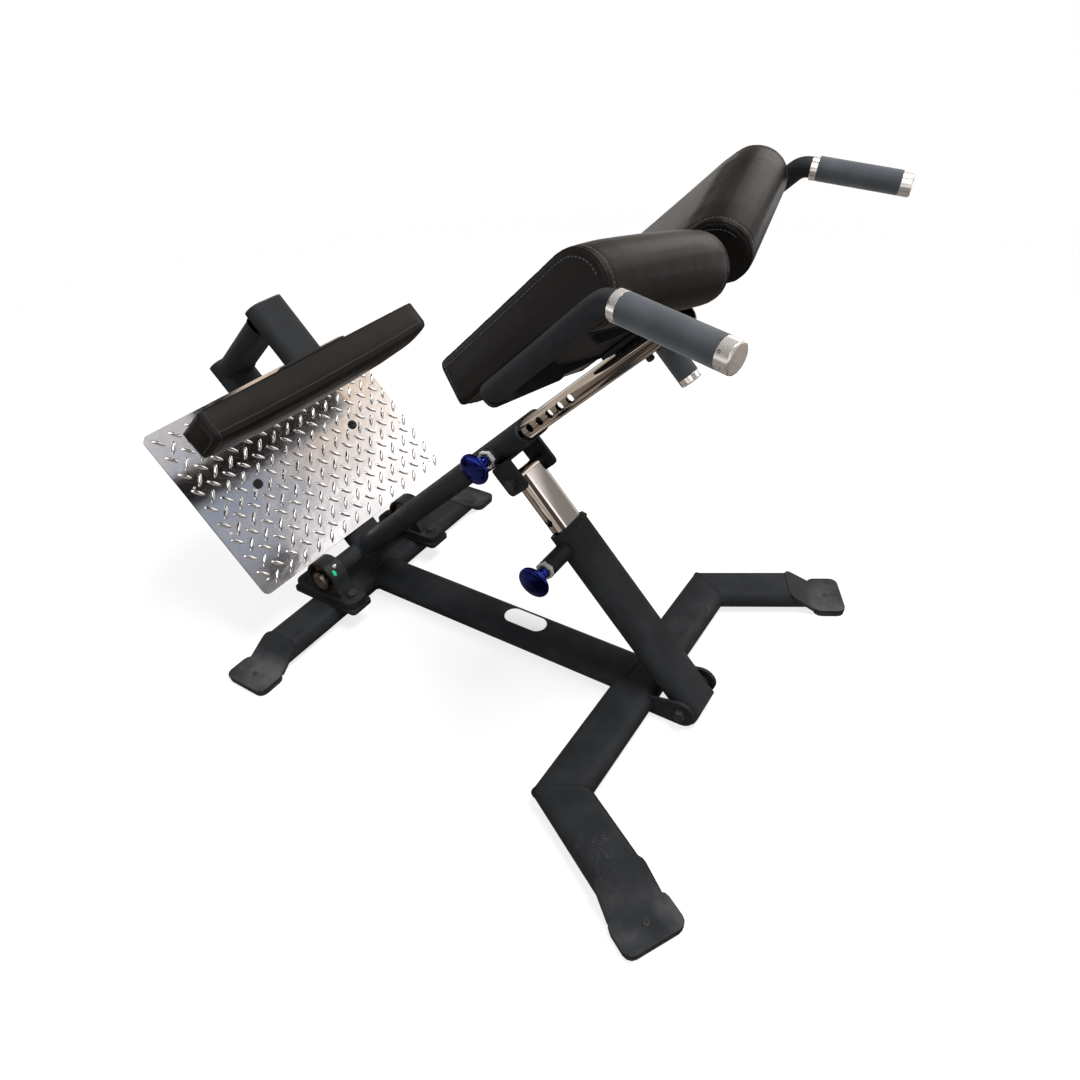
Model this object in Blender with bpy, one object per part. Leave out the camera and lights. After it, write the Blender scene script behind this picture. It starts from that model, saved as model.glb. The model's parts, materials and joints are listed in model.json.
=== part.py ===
"""Hyperextension bench: welded base, tilting frame with foot plate, sliding hip pads, telescopic strut.

Metres, +Z up. X is across the bench, -Y is the front with the handles, +Y is the rear with the
foot plate. The origin is on the floor below the main pivot. Sizes come first, then small shape
tools, then one function for each group of sub-parts.
"""
import math

import bmesh
import bpy
from mathutils import Matrix, Vector

# Fits
GAP = 0.0003
SLIDE_GAP = 0.0004
MERGE = 0.000002
DRILL = 0.1

# Flat-oval steel tube of the frame, and the smaller chrome tube that slides in it
TUBE_W = 0.080
TUBE_H = 0.040
TUBE_WALL = 0.0025
BUSH_WALL_W = 0.0055
BUSH_WALL_H = 0.002
INNER_WALL = 0.002
HOLE_PITCH = 0.025
HOLE_FIT = 0.0008

# Base frame
FLOOR_GAP = 0.006
SPINE_LENGTH = 0.627
REAR_FOOT_X = 0.301
FRONT_HALF = 0.270
LEG_LENGTH = 0.196
LEG_SPLAY = math.radians(28.8)
FOOT_LENGTH = 0.0585
FOOT_WIDTH = 0.096
FOOT_CORNER_R = 0.014
FOOT_PLATE_T = 0.006
RUBBER_T = 0.008
RUBBER_INSET = 0.001
SLANT_RUN = 0.046
SLANT_T = 0.005
SLANT_BOTTOM_W = 0.088
VENT_R = 0.005
SCREW_R = 0.004

# Main pivot: pillow blocks for a 30 mm shaft
PAD_T = 0.006
PAD_MARGIN = 0.002
BLOCK_X = 0.120
BLOCK_END = 0.0195
BLOCK_WIDTH = 0.048
BLOCK_FOOT_T = 0.015
BLOCK_BODY_W = 0.036
BLOCK_WALL = 0.007
BLOCK_RISE = 0.0049
BOLT_CLEAR = 0.0005
BOLT_SPACING = 0.121
BLOCK_BOLT_R = 0.006
BLOCK_SLOT = 0.022
INSERT_WALL = 0.011
INSERT_W = 0.018
RING_WALL = 0.005
RING_OUT = 0.021
RING_IN = 0.014
SHAFT_R = 0.015
SHAFT_END = 0.003
HUB_R = 0.019
HUB_INSET = 0.001

# Tilting frame, measured along the beam (a) and square to it (n) from the pivot
BEAM_ANGLE = math.radians(41.7)
BEAM_LENGTH = 0.5735
HEEL_TOP = 0.460
CAP_T = 0.0033
CAP_PLUG = 0.008
ARM_A = 0.2115
PLATE_T = 0.003
PLATE_N = 0.0385
PLATE_HEIGHT = 0.358
PLATE_WIDTH = 0.510
PLATE_CORNER_R = 0.012
PLATE_BOLT_X = 0.1285
PLATE_BOLT_RISE = 0.180
PLATE_BOLT_R = 0.005
PLATE_BOLT_TAIL = 0.004
PLATE_HEAD_R = 0.0085
PLATE_HEAD_T = 0.003
WING_END = 0.0265
WING_HEIGHT = 0.050
WING_T = 0.004
WING_ROOT = 0.022
CALF_LENGTH = 0.526
CALF_WIDTH = 0.0855
CALF_FOAM = 0.045
CALF_BOARD_T = 0.010
CALF_FLANGE_T = 0.005
CALF_FLANGE_LENGTH = 0.160
CALF_FLANGE_WIDTH = 0.072
CALF_PAD_N = 0.2785
CALF_CROWN = 0.006
CALF_SEAM = 0.012
CLEVIS_INSET = 0.0685
CLEVIS_DROP = 0.0354
EAR_T = 0.006
EAR_LENGTH = 0.047
EAR_BELOW = 0.0185
EAR_SHIFT = 0.002
EAR_SINK = 0.0016
EAR_TOP_R = 0.006
EAR_WEB_T = 0.005
EAR_WEB_SINK = 0.001
BUSH_LENGTH = 0.045
BUSH_RECESS = 0.001

# Strut
FRONT_PIVOT_OUT = 0.0495
STRUT_FLOOR_GAP = 0.0026
STRUT_TOP = 0.361
STRUT_END_R = 0.028
STRUT_BUSH_LENGTH = 0.018
CLAMP_INSET = 0.0095
CLAMP_R = 0.004
CLAMP_STAND = 0.008
STRUT_PIN_INSET = 0.028
STRUT_PIN_STAND = 0.0517
STRUT_HOLES_UP = 2
STRUT_HOLES_DOWN = 2
STRUT_INNER_TAIL = 0.030
PIVOT_BOLT_R = 0.006
PIVOT_HEAD_T = 0.007
PIVOT_NUT_T = 0.009
PIVOT_BOLT_TAIL = 0.003
WASHER_T = 0.0015
SLEEVE_PLAY = 0.0021
SLEEVE_WALL = 0.0034
OPEN_PIVOT_OFFSET = 0.0015
FOOT_EAR_R = 0.024
FOOT_EAR_GAP = 0.0012
EAR_STEP = 0.004
EAR_WELD = 0.006
FOOT_SLEEVE_WALL = 0.006
SLEEVE_OUT = 0.0008

# Pop pins
PIN_INSET = 0.0759
PIN_STAND = 0.0057
PIN_R = 0.0064
PIN_TRAVEL = 0.012
PIN_CLEAR = 0.0006
PIN_HOUSING_R = 0.0148
PIN_NUT_AF = 0.027
PIN_NUT_T = 0.008
KNOB_R = 0.0270
KNOB_NECK_R = 0.0104
KNOB_NECK = 0.022
KNOB_DISC_T = 0.012
KNOB_BORE = 0.005

# Sliding pad carriage
CARRIAGE_IN = 0.346
CARRIAGE_OUT = 0.905
CARRIAGE_HOLES_IN = 8
CARRIAGE_HOLES_OUT = 4
CRADLE_TILT = math.radians(14.2)
CRADLE_X = 0.0143
CRADLE_N = 0.0798
PAD_LENGTH_S = 0.229
PAD_BACK = 0.164
PAD_FLAT = 0.238
PAD_NOSE_R = 0.0449
PAD_FOAM = 0.0497
PAD_SEAM = 0.011
PAD_END_R = 0.005
SEAM_HALF = 0.003
SEAM_DEPTH = 0.0013
PAD_SWELL = 0.003
BOARD_T = 0.010
BOARD_INSET = 0.006
NOSE_OVERHANG = 0.061
PAD_PLATE_T = 0.004
PAD_PLATE_S0 = 0.020
PLATE_OUT_INSET = 0.024
PLATE_REAR_INSET = 0.054
PLATE_FRONT_INSET = 0.018
SADDLE_HALF_W = 0.055
RIB_REAR_INSET = 0.005
RIB_FRONT_INSET = 0.015
RIB_T = 0.005
RIB_HALF_LENGTH = 0.150
RIB_DEPTH = 0.012
HANDLE_CLEAR = 0.0394
HANDLE_DROP = 0.0158
HANDLE_R = 0.014
HANDLE_WALL = 0.0025
HANDLE_INSET = 0.029
HANDLE_RUN = 0.1995
HANDLE_BEND_R = 0.025
HANDLE_BEND_STEPS = 6
GRIP_OUT = 0.0236
GRIP_FORWARD = 0.0818
GRIP_DROP = 0.0970
GRIP_R = 0.0165
RING_LENGTH = 0.009
GRIP_LENGTH = 0.1092
CAP_LENGTH = 0.015
RING_START = 0.0131
BRACKET_T = 0.005
BRACKET_LENGTH = 0.1157
BRACKET_DEPTH = 0.024
PULL_INSET = 0.045
PULL_R = 0.011
PULL_GRIP_R = 0.016
PULL_LENGTH = 0.050
PULL_CAP = 0.010
BUMPER_INSET = 0.077
BUMPER_R = 0.006
BUMPER_H = 0.008

# Colours: base colour, roughness, metallic
FINISHES = {
    "black_powder_coat": ((0.022, 0.023, 0.026), 0.45, 0.0),
    "chrome": ((0.75, 0.74, 0.72), 0.12, 1.0),
    "zinc": ((0.62, 0.64, 0.66), 0.3, 1.0),
    "aluminium": ((0.78, 0.78, 0.80), 0.3, 1.0),
    "black_oxide": ((0.015, 0.015, 0.016), 0.4, 0.6),
    "cast_iron": ((0.012, 0.012, 0.013), 0.55, 0.0),
    "blue_anodised": ((0.02, 0.04, 0.30), 0.3, 0.7),
    "rubber": ((0.02, 0.02, 0.021), 0.8, 0.0),
    "grip_foam": ((0.035, 0.038, 0.045), 0.85, 0.0),
    "black_plastic": ((0.03, 0.03, 0.03), 0.5, 0.0),
    "leather": ((0.030, 0.026, 0.024), 0.42, 0.0),
    "plywood": ((0.42, 0.29, 0.16), 0.7, 0.0),
}

# Sizes that follow from the driving dimensions
INNER_W = TUBE_W - 2 * (TUBE_WALL + BUSH_WALL_W)
INNER_H = TUBE_H - 2 * (TUBE_WALL + BUSH_WALL_H)
HOLE_R = PIN_R + HOLE_FIT
TUBE_CENTRE_Z = FLOOR_GAP + TUBE_H / 2
TUBE_TOP_Z = FLOOR_GAP + TUBE_H
FOOT_TOP_Z = RUBBER_T + GAP + FOOT_PLATE_T
FOOT_EAR_X = TUBE_W / 2 + FOOT_EAR_GAP

BLOCK_LENGTH = BOLT_SPACING + 2 * BLOCK_END
PAD_LENGTH = BLOCK_LENGTH + 2 * PAD_MARGIN
PAD_WIDTH = BLOCK_WIDTH + 2 * PAD_MARGIN
RING_R = SHAFT_R + RING_WALL
INSERT_R = RING_R + INSERT_WALL
BLOCK_R = INSERT_R + BLOCK_WALL
BLOCK_CENTRE_H = BLOCK_R + BLOCK_RISE
BLOCK_FLANK = BOLT_SPACING / 2 - 2 * BLOCK_BOLT_R - BOLT_CLEAR
PIVOT_Z = TUBE_TOP_Z + PAD_T + GAP + BLOCK_CENTRE_H
SHAFT_HALF = BLOCK_X + RING_OUT + SHAFT_END

PLATE_BACK_A = TUBE_H / 2 + GAP
PLATE_FRONT_A = PLATE_BACK_A + PLATE_T
PLATE_BOLT_N = PLATE_N + PLATE_BOLT_RISE
WING_WIDTH = PLATE_BOLT_X + WING_END
BOARD_N = CALF_PAD_N + CALF_FOAM + GAP
FLANGE_N = BOARD_N + CALF_BOARD_T + GAP
LINK_N = HEEL_TOP - TUBE_H / 2
EAR_X = TUBE_W / 2 - EAR_SINK

PIN_A = BEAM_LENGTH - PIN_INSET
PIN_OUT = TUBE_W / 2 + PIN_STAND
NECK_BORE = KNOB_NECK_R + GAP
PIVOT_BOLT_AF = 3 * PIVOT_BOLT_R
SLEEVE_BORE_R = PIVOT_BOLT_R + SLEEVE_PLAY
SLEEVE_R = SLEEVE_BORE_R + SLEEVE_WALL
FOOT_SLEEVE_R = PIVOT_BOLT_R + FOOT_SLEEVE_WALL
CLEVIS_A = BEAM_LENGTH - CLEVIS_INSET
CLEVIS_N = -(TUBE_H / 2 + CLEVIS_DROP)
CLEVIS_Y = -CLEVIS_A * math.cos(BEAM_ANGLE) + CLEVIS_N * math.sin(BEAM_ANGLE)
CLEVIS_Z = PIVOT_Z + CLEVIS_A * math.sin(BEAM_ANGLE) + CLEVIS_N * math.cos(BEAM_ANGLE)
FRONT_PIVOT_Y = -SPINE_LENGTH - TUBE_W / 2 - FRONT_PIVOT_OUT
FRONT_PIVOT_Z = STRUT_END_R + STRUT_FLOOR_GAP
STRUT_ANGLE = math.atan2(CLEVIS_Z - FRONT_PIVOT_Z, CLEVIS_Y - FRONT_PIVOT_Y)
STRUT_LENGTH = math.hypot(CLEVIS_Z - FRONT_PIVOT_Z, CLEVIS_Y - FRONT_PIVOT_Y)
STRUT_PIN_U = STRUT_TOP - STRUT_PIN_INSET
STRUT_PIN_OUT = TUBE_W / 2 + STRUT_PIN_STAND
CLAMP_U = STRUT_TOP - CLAMP_INSET
CLAMP_OUT = TUBE_W / 2 + CLAMP_STAND

PAD_REAR = CARRIAGE_OUT - PAD_BACK
PAD_NOSE_A = PAD_REAR + PAD_FLAT
BOARD_FRONT = PAD_NOSE_A - NOSE_OVERHANG
PLATE_M = -(PAD_FOAM + GAP + BOARD_T + GAP)
PAD_PLATE_S1 = PAD_LENGTH_S - PLATE_OUT_INSET
PAD_PLATE_REAR = PAD_REAR + PLATE_REAR_INSET
PAD_PLATE_FRONT = BOARD_FRONT - PLATE_FRONT_INSET
RIB_REAR = PAD_PLATE_REAR + RIB_REAR_INSET
RIB_FRONT = PAD_PLATE_FRONT - RIB_FRONT_INSET
HANDLE_X = CRADLE_X + PAD_LENGTH_S * math.cos(CRADLE_TILT) + HANDLE_CLEAR
HANDLE_N = CRADLE_N - HANDLE_DROP
HANDLE_REAR = PAD_PLATE_REAR + HANDLE_INSET
HANDLE_APEX_A = HANDLE_REAR + HANDLE_RUN
BRACKET_X0 = HANDLE_X - BRACKET_LENGTH
PULL_A = CARRIAGE_OUT - PULL_INSET
BUMPER_A = CARRIAGE_OUT - BUMPER_INSET


# Shape tools

def finish(name):
    """Material of one finish, made once."""
    if name in bpy.data.materials:
        return bpy.data.materials[name]
    colour, roughness, metallic = FINISHES[name]
    material = bpy.data.materials.new(name)
    material.use_nodes = True
    shader = material.node_tree.nodes["Principled BSDF"]
    shader.inputs["Base Color"].default_value = (*colour, 1.0)
    shader.inputs["Roughness"].default_value = roughness
    shader.inputs["Metallic"].default_value = metallic
    material.diffuse_color = (*colour, 1.0)
    return material


def flat_oval(width, height, steps=8):
    """Outline of a flat-oval section, wide along x."""
    r = height / 2
    half = width / 2 - r
    right = [(half + r * math.cos(t), r * math.sin(t)) for t in angles(-90, 90, steps)]
    left = [(-half + r * math.cos(t), r * math.sin(t)) for t in angles(90, 270, steps)]
    return right + left


def angles(start, end, steps):
    return [math.radians(start + (end - start) * k / steps) for k in range(steps + 1)]


def circle(radius, steps=20, x=0.0, y=0.0):
    turn = [2 * math.pi * k / steps for k in range(steps)]
    return [(x + radius * math.cos(t), y + radius * math.sin(t)) for t in turn]


def rounded_outline(corners, steps=3):
    """Outline through corners of (x, y, radius), each rounded by an arc."""
    points = []
    for k, (x, y, r) in enumerate(corners):
        here = Vector((x, y))
        back = (Vector(corners[k - 1][:2]) - here).normalized()
        ahead = (Vector(corners[(k + 1) % len(corners)][:2]) - here).normalized()
        if r <= 0:
            points.append((x, y))
            continue
        half = back.angle(ahead) / 2
        centre = here + (back + ahead).normalized() * (r / math.sin(half))
        first = here + back * (r / math.tan(half)) - centre
        last = here + ahead * (r / math.tan(half)) - centre
        sweep = math.atan2(first.x * last.y - first.y * last.x, first.dot(last))
        for j in range(steps + 1):
            turned_arm = Matrix.Rotation(sweep * j / steps, 2) @ first
            points.append(tuple(centre + turned_arm))
    return points


def rounded_rect(width, height, r, steps=3):
    x, y = width / 2, height / 2
    return rounded_outline([(x, -y, r), (x, y, r), (-x, y, r), (-x, -y, r)], steps)


def hexagon(across_flats, per_side=1):
    """Hexagon with extra points along its sides, so that a round bore can be bridged to it."""
    r = across_flats / math.sqrt(3)
    corners = [Vector((r * math.cos(t), r * math.sin(t))) for t in angles(0, 300, 5)]
    points = []
    for k, here in enumerate(corners):
        ahead = corners[(k + 1) % 6]
        points += [tuple(here.lerp(ahead, j / per_side)) for j in range(per_side)]
    return points


def ring_edges(bm, outline, z=0.0):
    verts = [bm.verts.new((x, y, z)) for x, y in outline]
    return [bm.edges.new((verts[k - 1], verts[k])) for k in range(len(verts))]


def prism(outline, z0, z1, bore=None):
    """Extrudes an outline along z; a bore has as many points as the outline."""
    bm = bmesh.new()
    edges = ring_edges(bm, outline, z0)
    if bore:
        bmesh.ops.bridge_loops(bm, edges=edges + ring_edges(bm, bore, z0))
    else:
        bmesh.ops.contextual_create(bm, geom=edges)
    lift(bm, bm.faces[:], (0, 0, z1 - z0))
    return closed(bm)


def lift(bm, faces, move):
    """Extrudes a face region and moves the copy."""
    grown = bmesh.ops.extrude_face_region(bm, geom=faces, use_keep_orig=True)
    moved = [item for item in grown["geom"] if isinstance(item, bmesh.types.BMVert)]
    bmesh.ops.translate(bm, verts=moved, vec=move)
    return [item for item in grown["geom"] if isinstance(item, bmesh.types.BMFace)]


def turned(profile, steps=16):
    """Turns a profile of (radius, z) about z; a profile that starts off the axis is a ring."""
    bm = bmesh.new()
    verts = [bm.verts.new((r, 0, z)) for r, z in profile]
    pairs = list(zip(verts, verts[1:]))
    if profile[0][0] > 0:
        pairs.append((verts[-1], verts[0]))
    edges = [bm.edges.new(pair) for pair in pairs]
    bmesh.ops.spin(bm, geom=verts + edges, axis=(0, 0, 1), cent=(0, 0, 0), angle=2 * math.pi,
                   steps=steps, use_merge=True)
    return closed(bm)


def closed(bm):
    """Merges doubled points, turns the faces out and gives the mesh."""
    bmesh.ops.remove_doubles(bm, verts=bm.verts[:], dist=MERGE)
    bmesh.ops.recalc_face_normals(bm, faces=bm.faces[:])
    mesh = bpy.data.meshes.new("solid")
    bm.to_mesh(mesh)
    bm.free()
    return mesh


def flat_tube(width, height, wall, start, end, steps=8):
    """Flat-oval tube along z; start and end give z over the section, for mitres and slants."""
    outer = flat_oval(width, height, steps)
    inner = flat_oval(width - 2 * wall, height - 2 * wall, steps)
    bm = bmesh.new()
    bmesh.ops.bridge_loops(bm, edges=ring_edges(bm, outer) + ring_edges(bm, inner))
    lift(bm, bm.faces[:], (0, 0, 1))
    for vert in bm.verts:
        ruler = start if vert.co.z < 0.5 else end
        vert.co.z = ruler(vert.co.x, vert.co.y) if callable(ruler) else ruler
    return closed(bm)


def oval_bar(start, end):
    """Solid bar a little larger than the frame's tube, to fit a bracket round it."""
    return prism(flat_oval(TUBE_W + 2 * GAP, TUBE_H + 2 * GAP), start, end)


def skinned(rings):
    """Solid through a row of rings of points."""
    bm = bmesh.new()
    loops = [closed_loop(bm, ring) for ring in rings]
    for first, second in zip(loops, loops[1:]):
        bmesh.ops.bridge_loops(bm, edges=first + second)
    for loop in (loops[0], loops[-1]):
        bmesh.ops.contextual_create(bm, geom=loop)
    return closed(bm)


def closed_loop(bm, points):
    verts = [bm.verts.new(point) for point in points]
    return [bm.edges.new((verts[k - 1], verts[k])) for k in range(len(verts))]


def moved(mesh, matrix):
    copy = mesh.copy()
    copy.transform(matrix)
    if matrix.determinant() < 0:
        copy.flip_normals()
    return copy


def joined(meshes):
    """One mesh that holds several separate solids."""
    bm = bmesh.new()
    for mesh in meshes:
        bm.from_mesh(mesh)
    out = bpy.data.meshes.new("solid")
    bm.to_mesh(out)
    bm.free()
    return out


def combined(mesh, others, operation):
    """Boolean of a solid with others, one after the other."""
    base = bpy.data.objects.new("work", mesh)
    bpy.context.collection.objects.link(base)
    tools = []
    for other in others:
        tool = bpy.data.objects.new("tool", other)
        bpy.context.collection.objects.link(tool)
        tools.append(tool)
        cut = base.modifiers.new("cut", "BOOLEAN")
        cut.operation = operation
        cut.object = tool
        cut.solver = "EXACT"
    result = bpy.data.meshes.new_from_object(base.evaluated_get(bpy.context.evaluated_depsgraph_get()))
    for item in [base] + tools:
        bpy.data.objects.remove(item)
    bm = bmesh.new()
    bm.from_mesh(result)
    bmesh.ops.dissolve_degenerate(bm, dist=MERGE, edges=bm.edges[:])
    bmesh.ops.dissolve_limit(bm, angle_limit=0.001, verts=bm.verts[:], edges=bm.edges[:])
    return closed(bm)


def cut(mesh, *tools):
    return combined(mesh, tools, "DIFFERENCE")


def welded(mesh, *others):
    return combined(mesh, others, "UNION")


def along(axis, origin=(0, 0, 0)):
    """Matrix that takes local z to an axis of the parent: x, y or z, or a direction."""
    named = {"x": Vector((1, 0, 0)), "y": Vector((0, 1, 0)), "z": Vector((0, 0, 1)), "-x": Vector((-1, 0, 0))}
    z = (named[axis] if isinstance(axis, str) else Vector(axis)).normalized()
    guide = Vector((0, 0, 1)) if abs(z.z) < 0.9 else Vector((1, 0, 0))
    x = guide.cross(z).normalized()
    return basis(origin, x, z.cross(x), z)


def basis(origin, x, y, z):
    columns = [Vector(x).normalized(), Vector(y).normalized(), Vector(z).normalized()]
    matrix = Matrix(columns).transposed().to_4x4()
    matrix.translation = Vector(origin)
    return matrix


def empty(name, parent=None, location=(0, 0, 0), rotation=(0, 0, 0)):
    item = bpy.data.objects.new(name, None)
    bpy.context.collection.objects.link(item)
    item.empty_display_size = 0.05
    item.parent = parent
    item.location = location
    item.rotation_euler = rotation
    return item


def piece(name, mesh, material, parent=None, matrix=None, sharp=35):
    """Named sub-part with its finish, placed under its parent."""
    item = bpy.data.objects.new(name, mesh)
    mesh.name = name
    bpy.context.collection.objects.link(item)
    mesh.materials.clear()
    mesh.materials.append(finish(material))
    mesh.shade_smooth()
    mesh.set_sharp_from_angle(angle=math.radians(sharp))
    item.parent = parent
    if matrix is not None:
        item.location = matrix.to_translation()
        item.rotation_euler = matrix.to_euler()
    return item


def button_bolt(radius, length, head_r, head_t):
    """Round-headed bolt: the head's underside is at z = 0, the shank runs to -z."""
    return turned([(0, -length), (radius, -length), (radius, 0), (head_r, 0), (head_r * 0.8, head_t),
                   (0, head_t)], 10)


def hex_bolt(radius, length, across_flats, head_t):
    """Hexagon bolt on a washer: the washer's underside is at z = 0, the shank runs to -z."""
    head = prism(hexagon(across_flats), WASHER_T / 2, WASHER_T + head_t)
    return welded(disc(radius, -length, WASHER_T * 0.75), disc(2 * radius, 0, WASHER_T, 16), head)


def through_bolt(outside):
    """Bolt along x through two ears, with its head on the right and its nut on the left."""
    length = 2 * outside + WASHER_T + PIVOT_NUT_T + PIVOT_BOLT_TAIL
    bolt = hex_bolt(PIVOT_BOLT_R, length, PIVOT_BOLT_AF, PIVOT_HEAD_T)
    nut = prism(hexagon(PIVOT_BOLT_AF), WASHER_T / 2, WASHER_T + PIVOT_NUT_T)
    washer = disc(2 * PIVOT_BOLT_R, 0, WASHER_T, 16)
    left = [moved(solid, along("x", (outside, 0, 0))) for solid in (washer, nut)]
    return welded(moved(bolt, along("-x", (-outside, 0, 0))), *left)


def disc(radius, z0, z1, steps=12):
    return prism(circle(radius, steps), z0, z1)


# Base frame

def slant_cut(length):
    """End of a base tube, parallel to the slanted foot plate and square near the floor."""
    rise = TUBE_TOP_Z - FOOT_TOP_Z
    back = SLANT_T / 2 * math.hypot(SLANT_RUN, rise) / rise
    top = length - SLANT_RUN - back

    def end(x, y):
        drop = min(TUBE_H / 2 - y, rise)
        return top + drop * SLANT_RUN / rise
    return end


def foot_bracket():
    """Bent plate: slanted part that closes the tube, flat part that stands on the rubber."""
    rise = TUBE_TOP_Z - FOOT_TOP_Z
    slope = math.hypot(SLANT_RUN, rise)
    flat_outline = rounded_rect(FOOT_LENGTH, FOOT_WIDTH, FOOT_CORNER_R)
    flat = moved(prism(flat_outline, 0, FOOT_PLATE_T),
                 Matrix.Translation((FOOT_LENGTH / 2, 0, RUBBER_T + GAP)))
    half_top, half_foot = TUBE_W / 2, SLANT_BOTTOM_W / 2
    oval_r = TUBE_H / 2
    tail = FOOT_PLATE_T
    slanted = prism(rounded_outline([(-tail, -half_foot, 0), (slope, -half_top, oval_r * 0.9),
                                     (slope, half_top, oval_r * 0.9), (-tail, half_foot, 0)], 4), -SLANT_T, 0)
    up = Vector((-SLANT_RUN, 0, rise)).normalized()
    slanted = moved(slanted, basis((0, 0, FOOT_TOP_Z), up, (0, -1, 0), up.cross(Vector((0, -1, 0)))))
    below = moved(prism(rounded_rect(0.3, 0.3, 0.01), -0.1, 0), Matrix.Translation((0, 0, RUBBER_T + GAP)))
    beyond = moved(prism(rounded_rect(0.1, 0.3, 0.01), 0, FOOT_TOP_Z - 1e-5),
                   Matrix.Translation((0.05 + FOOT_CORNER_R + 0.002, 0, 0)))
    bracket = welded(flat, cut(slanted, below, beyond))
    hole = moved(prism(circle(SCREW_R + GAP, 8), -0.02, 0.03), Matrix.Translation((FOOT_LENGTH / 2, 0, RUBBER_T)))
    return cut(bracket, hole)


def rubber_foot():
    outline = rounded_rect(FOOT_LENGTH - 2 * RUBBER_INSET, FOOT_WIDTH - 2 * RUBBER_INSET, FOOT_CORNER_R)
    pad = moved(prism(outline, 0, RUBBER_T), Matrix.Translation((FOOT_LENGTH / 2, 0, 0)))
    depth = RUBBER_T * 0.6
    hole = moved(prism(circle(SCREW_R, 8), -depth, 0.02), Matrix.Translation((FOOT_LENGTH / 2, 0, RUBBER_T)))
    return cut(pad, hole)


def leg_frame(side):
    """Frame at a front mitre with z along the leg."""
    out = Vector((side * math.sin(LEG_SPLAY), -math.cos(LEG_SPLAY), 0))
    up = Vector((0, 0, 1))
    return basis((side * FRONT_HALF, -SPINE_LENGTH, TUBE_CENTRE_Z), up.cross(out), up, out)


def foot_places():
    """Frames with x outward along each tube and the origin at the foot plate's inner edge."""
    up = Vector((0, 0, 1))
    places = []
    for side in (1, -1):
        out = Vector((side, 0, 0))
        places.append(basis(out * REAR_FOOT_X, out, up.cross(out), up))
    for side in (1, -1):
        out = leg_frame(side).to_3x3().col[2]
        start = leg_frame(side).to_translation() + out * LEG_LENGTH
        start.z = 0
        places.append(basis(start, out, up.cross(out), up))
    return places


def base_frame(base):
    x, y, z = Vector((1, 0, 0)), Vector((0, 1, 0)), Vector((0, 0, 1))
    places = foot_places()
    bracket, rubber = foot_bracket(), rubber_foot()
    for word, place in zip(("rear_left", "rear_right", "front_left", "front_right"), places):
        piece("rubber_foot_" + word, moved(rubber, place), "rubber", base)

    end = slant_cut(REAR_FOOT_X)
    rear = flat_tube(TUBE_W, TUBE_H, TUBE_WALL, lambda a, b: -end(a, b), end)
    rear = moved(rear, basis((0, 0, TUBE_CENTRE_Z), y, z, x))
    rear = welded(rear, *[moved(bracket, place) for place in places[:2]], *bearing_pads())
    vents = [disc(VENT_R, 0, TUBE_CENTRE_Z, 10)]
    vents += [moved(prism(circle(BLOCK_BOLT_R + GAP, 12), TUBE_CENTRE_Z, PIVOT_Z), spot) for spot in bolt_spots()]
    piece("rear_cross_tube", cut(rear, *vents), "black_powder_coat", base)

    inset = (TUBE_W - TUBE_H) / 2
    spine = flat_tube(TUBE_W, TUBE_H, TUBE_WALL, inset, SPINE_LENGTH - inset)
    copes = [moved(oval_bar(-TUBE_W, TUBE_W), basis((0, 0, spot), z, y, -x)) for spot in (0, SPINE_LENGTH)]
    piece("spine_tube", cut(spine, *copes), "black_powder_coat", base, basis((0, 0, TUBE_CENTRE_Z), x, z, -y))

    lean = math.tan((math.pi / 2 - LEG_SPLAY) / 2)
    cross = flat_tube(TUBE_W, TUBE_H, TUBE_WALL, lambda a, b: -(FRONT_HALF + a * lean) + GAP,
                      lambda a, b: FRONT_HALF + a * lean - GAP)
    cross = moved(cross, basis((0, -SPINE_LENGTH, TUBE_CENTRE_Z), y, z, x))
    piece("front_cross_tube", welded(cross, *front_ears()), "black_powder_coat", base)
    for side, word, place in ((1, "left", places[2]), (-1, "right", places[3])):
        start = (lambda a, b, s=side: GAP - s * a * lean)
        leg = moved(flat_tube(TUBE_W, TUBE_H, TUBE_WALL, start, slant_cut(LEG_LENGTH)), leg_frame(side))
        piece("front_leg_" + word, welded(leg, moved(bracket, place)), "black_powder_coat", base)


def front_ears():
    """Two ears on the front cross tube that hold the strut's lower bolt."""
    back = -SPINE_LENGTH - TUBE_W / 2 + EAR_WELD
    nose = [(FRONT_PIVOT_Y + FOOT_EAR_R * math.cos(t), FRONT_PIVOT_Z + FOOT_EAR_R * math.sin(t))
            for t in angles(80, 270, 12)]
    outline = [(back, FRONT_PIVOT_Z - FOOT_EAR_R), (back, TUBE_TOP_Z - EAR_STEP)] + nose
    hole = prism(circle(PIVOT_BOLT_R + GAP, 12, FRONT_PIVOT_Y, FRONT_PIVOT_Z), -1, 1)
    ears = []
    for side in (1, -1):
        near, far = sorted((side * FOOT_EAR_X, side * (FOOT_EAR_X + EAR_T)))
        ears.append(moved(cut(prism(outline, near, far), hole), basis((0, 0, 0), (0, 1, 0), (0, 0, 1), (1, 0, 0))))
    return ears


def bearing_pads():
    pad = prism(rounded_rect(PAD_WIDTH, PAD_LENGTH, 0.008), -TUBE_WALL, PAD_T)
    return [moved(pad, Matrix.Translation((side * BLOCK_X, 0, TUBE_TOP_Z))) for side in (1, -1)]


def bolt_spots():
    """Places of the four bearing bolts, left first and front first."""
    return [Matrix.Translation((x * BLOCK_X, y * BOLT_SPACING / 2, 0)) for x in (1, -1) for y in (-1, 1)]


# Pillow blocks and shaft

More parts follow.
